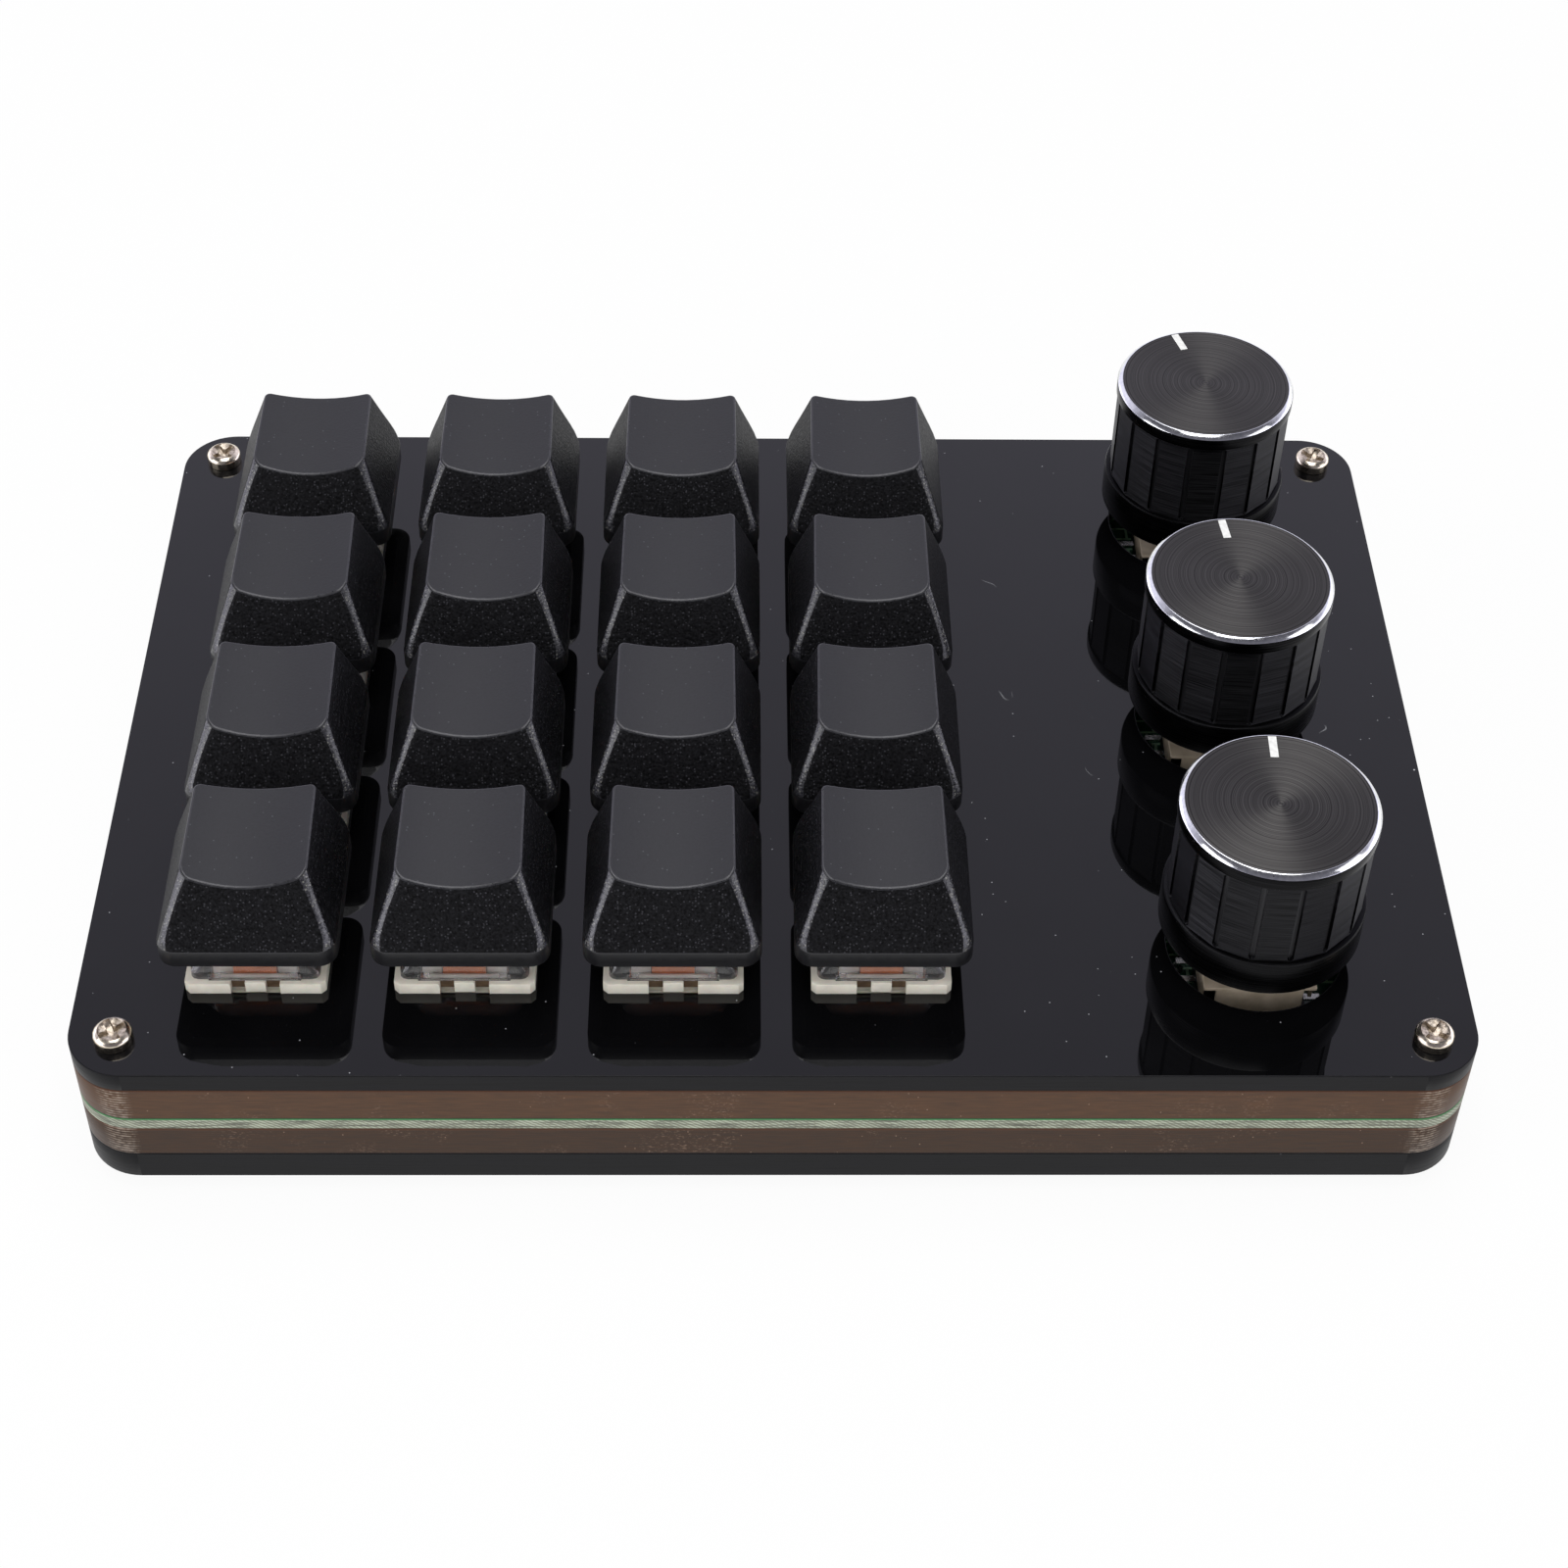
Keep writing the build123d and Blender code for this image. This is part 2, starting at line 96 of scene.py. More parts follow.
def rgba(tone):
    """A hex colour or a linear one as a shader colour."""
    return (*(linear(tone) if isinstance(tone, str) else tone), 1.0)


def shades(tone, *factors):
    """A colour property made darker or lighter by each factor."""
    return [[value * factor for value in tone] for factor in factors]


def length(name, millimetres, description):
    return FloatProperty(
        name=name, description=description, default=millimetres * MM, min=0, unit="LENGTH",
        precision=5,
    )


def colour(name, text, description):
    return FloatVectorProperty(
        name=name, description=description, default=linear(text), subtype="COLOR", size=3, min=0,
        max=1,
    )


class KeypadSizes(bpy.types.PropertyGroup):
    plate_corner: length("Plate corner", 6.0, "Corner radius of the plates")
    plate_edge: length("Plate edge", 0.12, "Bevel that the cutter leaves on a plate's edges")
    spacer_wall: length("Spacer wall", 4.5, "Width of the brown frames between the plates")
    cutout: length("Cutout", 14.0, "Width of the square hole for a switch")
    dial_hole: length("Dial hole", 18.6, "Diameter of the hole under a knob")
    screw_inset: length("Screw inset", 4.8, "Distance of the screws from the plate's sides")
    cap_base: length("Cap base", 18.2, "Width of a keycap at its lip")
    cap_lip: length("Cap lip", 2.1, "Height of the upright lip of a keycap")
    cap_height: length("Cap height", 9.25, "Height of a keycap's rim over its lower edge")
    cap_top_width: length("Cap top width", 12.5, "Width of a keycap's top")
    cap_top_depth: length("Cap top depth", 12.2, "Depth of a keycap's top")
    cap_back_shift: length("Cap back shift", 1.75, "How far a keycap's top lies behind its base")
    cap_lip_corner: length("Cap lip corner", 2.0, "Corner radius of a keycap's lip")
    cap_ridge: length("Cap ridge", 1.0, "Radius of a keycap's four ridges half way up")
    cap_front_corner: length("Cap front corner", 1.6, "Radius of a keycap top's front corners")
    cap_back_corner: length("Cap back corner", 0.8, "Radius of a keycap top's back corners")
    cap_dish: length("Cap dish", 1.05, "Depth of the finger dish")
    cap_rim: length("Cap rim", 0.18, "Rounding of the rim between the dish and the slopes")
    cap_wall: length("Cap wall", 1.45, "Wall thickness of a keycap")
    knob_base: length("Knob base", 21.1, "Diameter of a knob's lower band")
    knob_top: length("Knob top", 20.4, "Diameter of a knob's upper band")
    knob_ring: length("Knob ring", 0.44, "Width of the bright cut ring")
    knob_facet: length("Knob facet", 0.3, "How far a knob's flat facets lie inside its upper band")
    flute_width: length("Flute width", 0.62, "Width of a knob's flutes")
    flute_depth: length("Flute depth", 0.45, "Depth of a knob's flutes")
    flange: length("Switch flange", 14.5, "Width of the switch flange on the plate")
    hood_foot: length("Hood foot", 13.3, "Width of a switch's clear hood at its foot")
    hood_top: length("Hood top", 10.4, "Width of a switch's clear hood at its top")
    spring_wire: length("Spring wire", 0.22, "Thickness of the spring wire")


class KeypadColours(bpy.types.PropertyGroup):
    acrylic: colour("Black acrylic", "#060607", "Body colour of the top and bottom plates")
    smoke: colour("Brown acrylic", "#4e3522", "Body colour of the two spacers")
    board: colour("Board edge", "#8b8f7d", "Resin and glass at the board's cut edge")
    mask: colour("Solder mask", "#1c5238", "Lacquer on the board")
    cap: colour("Keycap", "#17171a", "Moulded keycap plastic")
    knob: colour("Knob", "#38383a", "Dyed oxide on the knobs' sides")
    face: colour("Knob face", "#393836", "Dyed oxide on the knobs' faced tops")
    cream: colour("Switch base", "#f6f0e2", "Moulded lower housing of a switch")
    stem: colour("Switch stem", "#e2803c", "Moulded slider of a switch")


# ---- modelling helpers ---------------------------------------------------------------------------


def property_names(group):
    return [name for name in group.bl_rna.properties.keys() if name not in ("name", "rna_type")]


def in_mm(group):
    """The lengths of a property group, in millimetres."""
    return SimpleNamespace(**{name: getattr(group, name) / MM for name in property_names(group)})


def tidied(bm, distance=1e-4):
    """Merge doubles and point every face outwards."""
    bmesh.ops.remove_doubles(bm, verts=bm.verts, dist=distance)
    bmesh.ops.recalc_face_normals(bm, faces=bm.faces)
    return bm


def lofted(slots, rings):
    """A closed skin through rings. Each ring is (place, material): place turns a slot number into
    a point, and the band up to the ring gets the material. Slots run anticlockwise, and the first
    and last ring are filled."""
    bm = bmesh.new()
    slot = bm.verts.layers.int.new("slot")
    verts = bmesh.ops.create_circle(bm, segments=slots, radius=1)["verts"]
    for number, vert in enumerate(verts):
        vert[slot] = number
    first = edges = bm.edges[:]
    for number, (place, material) in enumerate(rings):
        if number:
            made = bmesh.ops.extrude_edge_only(bm, edges=edges)["geom"]
            verts = [item for item in made if isinstance(item, bmesh.types.BMVert)]
            edges = [item for item in made if isinstance(item, bmesh.types.BMEdge)]
            for item in made:
                if isinstance(item, bmesh.types.BMFace):
                    item.material_index = material
        for vert in verts:
            vert.co = place(vert[slot])
    for end, material in ((first, rings[0][1]), (edges, rings[-1][1])):
        for face in bmesh.ops.contextual_create(bm, geom=end)["faces"]:
            face.material_index = material
    return tidied(bm)


def turned(profile, steps=48, closed=False):
    """A solid of revolution about Z from (radius, height) points, which start and end on the axis
    or close up."""
    bm = bmesh.new()
    verts = [bm.verts.new((radius, 0, height)) for radius, height in profile]
    ends = verts[1:] + verts[:1] if closed else verts[1:]
    edges = [bm.edges.new(pair) for pair in zip(verts, ends)]
    bmesh.ops.spin(
        bm, geom=verts + edges, cent=(0, 0, 0), axis=(0, 0, 1), angle=math.tau, steps=steps,
        use_merge=True,
    )
    return tidied(bm)


def block(width, depth, low, high, bevel=0.0, x=0.0, y=0.0, segments=2):
    """A rectangular bar between two levels with softened edges."""
    bm = bmesh.new()
    bmesh.ops.create_cube(bm, size=1)
    bmesh.ops.scale(bm, vec=(width, depth, high - low), verts=bm.verts)
    bmesh.ops.translate(bm, vec=(x, y, (low + high) / 2), verts=bm.verts)
    if bevel:
        bmesh.ops.bevel(
            bm, geom=bm.edges[:], offset=bevel, segments=segments, profile=0.5, affect="EDGES",
            material=-1, clamp_overlap=True,
        )
    return bm


def sheet_cut(outlines, low, high, bevel):
    """A flat sheet between two levels; the outlines after the first are holes. Each outline is a
    list of (point, handle before, handle after)."""
    curve = bpy.data.curves.new("outline", "CURVE")
    curve.dimensions = "2D"
    curve.fill_mode = "BOTH"
    curve.extrude = (high - low) / 2 - bevel
    curve.bevel_depth = bevel
    curve.bevel_resolution = 1
    curve.offset = -bevel
    for outline in outlines:
        spline = curve.splines.new("BEZIER")
        spline.use_cyclic_u = True
        spline.resolution_u = 16
        spline.bezier_points.add(len(outline) - 1)
        for point, (place, before, after) in zip(spline.bezier_points, outline):
            point.handle_left_type = point.handle_right_type = "FREE"
            point.co, point.handle_left, point.handle_right = (*place, 0), (*before, 0), (*after, 0)
    holder = bpy.data.objects.new("outline", curve)
    bpy.context.scene.collection.objects.link(holder)
    bpy.context.view_layer.update()
    solid = holder.evaluated_get(bpy.context.evaluated_depsgraph_get())
    mesh = bpy.data.meshes.new_from_object(solid)
    bm = bmesh.new()
    bm.from_mesh(mesh)
    bmesh.ops.translate(bm, vec=(0, 0, (low + high) / 2), verts=bm.verts)
    bpy.data.objects.remove(holder)
    bpy.data.meshes.remove(mesh)
    bpy.data.curves.remove(curve)
    return tidied(bm, 1e-3)


def rounded(width, depth, radius, x=0.0, y=0.0):
    """The outline of a rectangle with round corners. A circle has no straight sides."""
    handle = radius * CIRCLE_HANDLE
    points = []
    for sx, sy in ((1, 1), (-1, 1), (-1, -1), (1, -1)):
        cx, cy = x + sx * width / 2, y + sy * depth / 2
        upright = ((cx, cy - sy * radius), (cx, cy - sy * (radius - handle)))
        level_side = ((cx - sx * radius, cy), (cx - sx * (radius - handle), cy))
        first, last = (upright, level_side) if sx == sy else (level_side, upright)
        points += [(first[0], first[0], first[1]), (last[0], last[1], last[0])]
    return points


def circle(diameter, x=0.0, y=0.0):
    return rounded(diameter, diameter, diameter / 2, x, y)


def polygon(*corners):
    """An outline with straight sides."""
    return [(corner, corner, corner) for corner in corners]


def round_square(steps, shares):
    """The number of slots and the place function of rings shaped as rectangles with round corners.
    Each corner has steps + 1 slots, and each side has one slot for each share of its length."""
    span = steps + 1 + len(shares)
    signs = ((1, 1), (-1, 1), (-1, -1), (1, -1))

    def place(number, width, depth, radii, back=0.0):
        """radii: back right, back left, front left and front right corner."""
        corner, step = divmod(number, span)

        def arc(which, share):
            radius = radii[which % 4]
            sx, sy = signs[which % 4]
            turn = (which + share) * math.pi / 2
            return Vector((
                sx * (width / 2 - radius) + radius * math.cos(turn),
                sy * (depth / 2 - radius) + back + radius * math.sin(turn),
            ))

        if step <= steps:
            return arc(corner, step / steps)
        return arc(corner, 1.0).lerp(arc(corner + 1, 0.0), shares[step - steps - 1])

    return 4 * span, place


def around_axis(radius, angle, z):
    return Vector((radius * math.cos(angle), radius * math.sin(angle), z))


def joined(target, *others):
    """Add other bmeshes to the first one."""
    for other in others:
        mesh = bpy.data.meshes.new("part")
        other.to_mesh(mesh)
        other.free()
        target.from_mesh(mesh)
        bpy.data.meshes.remove(mesh)
    return target


def moved(bm, x=0.0, y=0.0, z=0.0, turn=0.0):
    """Turn a bmesh about Z, then shift it."""
    matrix = Matrix.Translation((x, y, z)) @ Matrix.Rotation(turn, 4, "Z")
    bmesh.ops.transform(bm, matrix=matrix, verts=bm.verts)
    return bm


def painted(bm, material, chosen=lambda face: True):
    """Give the chosen faces a material number."""
    for face in bm.faces:
        face.normal_update()
        if chosen(face):
            face.material_index = material
    return bm


def piece(name, bm, materials, body, nodes, slot, flat=False, angle=32.0):
    """Make the finished object from a bmesh in millimetres. It rides on a body and stands for CAD
    nodes. Flat keeps level and upright faces unsmoothed, so that they mirror without ripples."""
    bmesh.ops.scale(bm, vec=(MM, MM, MM), verts=bm.verts)
    mesh = bpy.data.meshes.new(name)
    bm.to_mesh(mesh)
    bm.free()
    for material in materials:
        mesh.materials.append(material)
    mesh.set_sharp_from_angle(angle=math.radians(angle))
    for face in mesh.polygons:
        face.use_smooth = not (flat and max(abs(part) for part in face.normal) > SQUARE_ON)
    obj = bpy.data.objects.new(name, mesh)
    bpy.context.scene.collection.objects.link(obj)
    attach(obj, body)
    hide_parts(*nodes)
    return obj


def dressed(node, material, bevel=0.0):
    """Give a CAD node its material and soften its edges."""
    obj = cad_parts[node]
    obj.data.materials.clear()
    obj.data.materials.append(material)
    if bevel:
        obj.modifiers.new("Weld", "WELD").merge_threshold = 1e-6
        softened = obj.modifiers.new("Bevel", "BEVEL")
        softened.width = bevel * MM
        softened.segments = 2
        softened.limit_method = "ANGLE"
        softened.angle_limit = math.radians(35)
    return obj


# ---- materials -----------------------------------------------------------------------------------


def add(tree, kind, inputs=None, give=0, **settings):
    """Add one shader node with its settings. Inputs maps a socket to a value or to the socket that
    feeds it, and give is the output to hand back, or None for the node itself."""
    node = tree.nodes.new(f"ShaderNode{kind}")
    for name, value in settings.items():
        setattr(node, name, value)
    for socket, value in (inputs or {}).items():
        if isinstance(value, bpy.types.NodeSocket):
            tree.links.new(value, node.inputs[socket])
        else:
            node.inputs[socket].default_value = value
    return node if give is None else node.outputs[give]


def surfaced(
    name, tones, shine, grain, relief, stretch=(1, 1, 1), detail=3.0, about=None, **constants
):
    """A material whose one uneven pattern drives its tone, shine and relief. The pattern's largest
    grains are grain millimetres wide, stretched along the axes, or rings about an upright line.
    They run from the dark to the light tone and from the low to the high roughness, and stand out
    by relief millimetres."""
    material = bpy.data.materials.new(name)
    material.use_nodes = True
    tree = material.node_tree
    tree.nodes.clear()
    place = vector = add(tree, "TexCoord", give="Object")
    if about:
        shift = (-about[0] * MM, -about[1] * MM, 0)
        vector = add(tree, "VectorMath", {0: place, 1: shift}, operation="ADD")
        vector = add(tree, "VectorMath", {0: vector, 1: (1, 1, 0)}, operation="MULTIPLY")
        radius = add(tree, "VectorMath", {0: vector}, give="Value", operation="LENGTH")
        vector = add(tree, "CombineXYZ", {"X": radius})
    vector = add(tree, "Mapping", {"Vector": vector, "Scale": [1 / part for part in stretch]})
    pattern = add(tree, "TexNoise", {"Vector": vector, "Scale": 1 / (grain * MM), "Detail": detail})
    spread = {"Value": pattern, "From Min": NOISE_LOW, "From Max": NOISE_HIGH}
    share = add(tree, "MapRange", spread)
    dark, light = (rgba(tone) for tone in tones)
    tone = add(tree, "Mix", {0: share, 6: dark, 7: light}, give=MIXED_COLOUR, data_type="RGBA")
    rough = add(tree, "MapRange", {**spread, "To Min": shine[0], "To Max": shine[1]})
    inputs = {"Base Color": tone, "Roughness": rough}
    if relief:
        inputs["Normal"] = add(tree, "Bump", {"Height": share, "Distance": relief * MM})
    inputs.update({key.replace("_", " "): value for key, value in constants.items()})
    shader = add(tree, "BsdfPrincipled", inputs, give=None)
    add(tree, "OutputMaterial", {"Surface": shader.outputs[0]}, give=None)
    return SimpleNamespace(
        material=material, tree=tree, shader=shader, place=place, pattern=pattern
    )


def covered(surface, share, tone):
    """Lay a second colour over a surface where the share is 1, such as dust or light in an edge."""
    socket = surface.shader.inputs["Base Color"]
    colours = {0: share, 6: socket.links[0].from_socket, 7: rgba(tone)}
    mixed = add(surface.tree, "Mix", colours, give=MIXED_COLOUR, data_type="RGBA")
    surface.tree.links.new(mixed, socket)


def specks(surface, spacing, radius, share):
    """The share of small round specks: one cell in so many of this spacing (mm) holds one."""
    tree = surface.tree
    cells = add(
        tree, "TexVoronoi", {"Vector": surface.place, "Scale": 1 / (spacing * MM)}, give=None
    ).outputs
    near = add(tree, "MapRange", {
        "Value": cells["Distance"], "From Min": radius / spacing * 0.6,
        "From Max": radius / spacing, "To Min": 1.0, "To Max": 0.0,
    })
    value = add(tree, "SeparateColor", {"Color": cells["Color"]})
    filled = add(tree, "Math", {0: value, 1: 1.0 - share}, operation="GREATER_THAN")
    return add(tree, "Math", {0: near, 1: filled}, operation="MULTIPLY")


def height_band(surface, low, high, blur):
    """The share that is 1 between two levels (mm) and fades out over the blur."""
    tree = surface.tree
    height = add(tree, "SeparateXYZ", {"Vector": surface.place}, give="Z")
    over = add(tree, "MapRange", {
        "Value": height, "From Min": (low - blur) * MM, "From Max": low * MM,
    })
    under = add(tree, "MapRange", {
        "Value": height, "From Min": high * MM, "From Max": (high + blur) * MM,
        "To Min": 1.0, "To Max": 0.0,
    })
    return add(tree, "Math", {0: over, 1: under}, operation="MULTIPLY")


def black_acrylic(colours):
    """Cast acrylic sheet: it reads as a wet black mirror, with a little dust and lint on it."""
    surface = surfaced(
        "cast black acrylic", shades(colours.acrylic, 1, 1.5), (0.012, 0.035), 9.0, 0, IOR=1.49
    )
    tree, place = surface.tree, surface.place
    covered(surface, specks(surface, 1.3, 0.09, 0.26), "#97989c")
    covered(surface, specks(surface, 4.5, 0.13, 0.22), "#c4c5c8")
    # lint: short pieces of the thin curves along which a noise crosses its middle value
    bend = add(tree, "TexNoise", {"Vector": place, "Scale": 1 / (2.6 * MM), "Detail": 0.0})
    thin = add(tree, "Math", {0: bend, 1: 0.5, 2: 0.011}, operation="COMPARE")
    short = specks(surface, 9.0, 1.3, 0.3)
    lint = add(tree, "Math", {0: thin, 1: short}, operation="MULTIPLY")
    covered(surface, lint, "#7c7d80")
    return surface.material


def brown_acrylic(colours, low, high, screw, depth):
    """Sawn brown acrylic: it reads as smoky brown with painted light in its upper edge, a darker
    line along its lower edge, fine level scratches, pale chips, and painted glints of the screw
    threads at
    the corners. Depth scales the tones: below 1 it is painted shade."""
    # depth scales both tones: below 1 it paints shade on a spacer that less light reaches
    surface = surfaced(
        f"sawn brown acrylic {low:.0f}", shades(colours.smoke, 0.7 * depth, 1.25 * depth),
        (0.36, 0.52), 0.2, 0.005, (16, 16, 1), IOR=1.49, Specular_IOR_Level=0.25,
    )
    tree, place = surface.tree, surface.place
    covered(surface, specks(surface, 0.5, 0.09, 0.04), "#8c7462")
    # scratches: thin level streaks under a millimetre long, in loose clusters
    level_lines = add(tree, "Mapping", {"Vector": place, "Scale": (0.3, 0.3, 1)})
    streak = add(tree, "TexNoise", {
        "Vector": level_lines, "Scale": 1 / (0.11 * MM), "Detail": 1.0,
    })
    cluster = add(tree, "TexNoise", {"Vector": place, "Scale": 1 / (6.0 * MM)})
    thin = add(tree, "MapRange", {"Value": streak, "From Min": 0.62, "From Max": 0.72})
    where = add(tree, "MapRange", {
        "Value": cluster, "From Min": 0.54, "From Max": 0.7, "To Max": 0.6,
    })
    scratch = add(tree, "Math", {0: thin, 1: where}, operation="MULTIPLY")
    covered(surface, scratch, "#8f7664")
    # painted light along the upper edge, where light comes in under the plate
    covered(surface, height_band(surface, high - 0.2, high, 0.1), "#4c2f1e")
    # a darker line along the lower edge
    covered(surface, height_band(surface, low, low + 0.12, 0.1), "#2c1d16")
    # painted glints of the screw threads behind the acrylic, only where a line of sight square to
    # the side meets a screw
    pitch = 0.4 * MM
    parts = add(tree, "SeparateXYZ", {"Vector": place}, give=None).outputs
    away = []
    for axis, inset in zip("XY", screw):
        off = add(tree, "Math", {0: parts[axis]}, operation="ABSOLUTE")
        off = add(tree, "Math", {0: off, 1: inset * MM}, operation="SUBTRACT")
        away.append(add(tree, "Math", {0: off}, operation="ABSOLUTE"))
    nearest = add(tree, "Math", {0: away[0], 1: away[1]}, operation="MINIMUM")
    near = add(tree, "MapRange", {
        "Value": nearest, "From Min": 0.8 * MM, "From Max": 1.9 * MM, "To Min": 0.85, "To Max": 0.0,
    })
    turns = add(tree, "Math", {0: parts["Z"], 1: math.tau / pitch}, operation="MULTIPLY")
    turns = add(tree, "Math", {0: turns}, operation="SINE")
    smudge = add(tree, "TexNoise", {"Vector": place, "Scale": 1 / (0.5 * MM)})
    glint = add(tree, "Math", {0: turns, 1: 0.25}, operation="MULTIPLY")
    glint = add(tree, "Math", {0: glint, 1: smudge}, operation="ADD")
    glint = add(tree, "MapRange", {"Value": glint, "From Min": 0.5, "From Max": 0.8, "To Max": 0.8})
    glint = add(tree, "Math", {0: near, 1: glint}, operation="MULTIPLY")
    covered(surface, glint, "#a89a8c")
    return surface.material


def board_edge(colours, high):
    """Sawn glass-fibre laminate: it reads as pale green-white resin with level streaks of glass
    cloth, under a thin green line of lacquer. The line is drawn 0.2 mm high, because the real
    0.03 mm wouldn't show."""
    surface = surfaced(
        "sawn glass-fibre laminate", shades(colours.board, 0.3, 1.2), (0.5, 0.65), 0.24, 0.012,
        (14, 14, 1), IOR=1.55, Specular_IOR_Level=0.4,
    )
    # the cut cloth shows as short slanting dashes: the ends of its threads
    thread_spacing = 0.7 * MM
    tree = surface.tree
    parts = add(tree, "SeparateXYZ", {"Vector": surface.place}, give=None).outputs
    along = add(tree, "Math", {0: parts["X"], 1: parts["Y"]}, operation="ADD")
    slant = add(tree, "Math", {0: parts["Z"], 1: 1.6, 2: along}, operation="MULTIPLY_ADD")
    dash = add(tree, "Math", {0: slant, 1: math.tau / thread_spacing}, operation="MULTIPLY")
    dash = add(tree, "Math", {0: dash}, operation="SINE")
    dash = add(tree, "Math", {0: dash, 1: 0.22, 2: surface.pattern}, operation="MULTIPLY_ADD")
    white = add(tree, "MapRange", {
        "Value": dash, "From Min": 0.55, "From Max": 0.75, "To Max": 0.9,
    })
    covered(surface, white, "#b4bca9")
    covered(surface, height_band(surface, high - 0.14, high, 0.08), "#3c7a48")
    return surface.material


def solder_mask(colours):
    """Green lacquer over copper: it reads as glossy dark green, paler over the tracks."""
    surface = surfaced(
        "solder mask over copper", shades(colours.mask, 0.85, 1.15), (0.22, 0.32), 3.0, 0, IOR=1.5,
        Coat_Weight=0.3,
    )
    tracks = add(surface.tree, "TexBrick", {
        "Vector": surface.place, "Scale": 1 / (1.9 * MM), "Mortar Size": 0.09,
        "Mortar Smooth": 0.1, "Brick Width": 2.6, "Row Height": 1.0,
    }, give="Fac")
    covered(surface, tracks, "#9cc0a0")
    return surface.material


def faced_top(colours, centre, number):
    """Black anodised aluminium, faced: fine rings of uneven depth draw the light into two fans."""
    return surfaced(
        f"faced anodised top {number}", shades(colours.face, 0.6, 2.4), (0.26, 0.4), 0.17, 0.001,
        about=centre, Metallic=1.0, Anisotropic=0.8, Anisotropic_Rotation=0.25,
    ).material


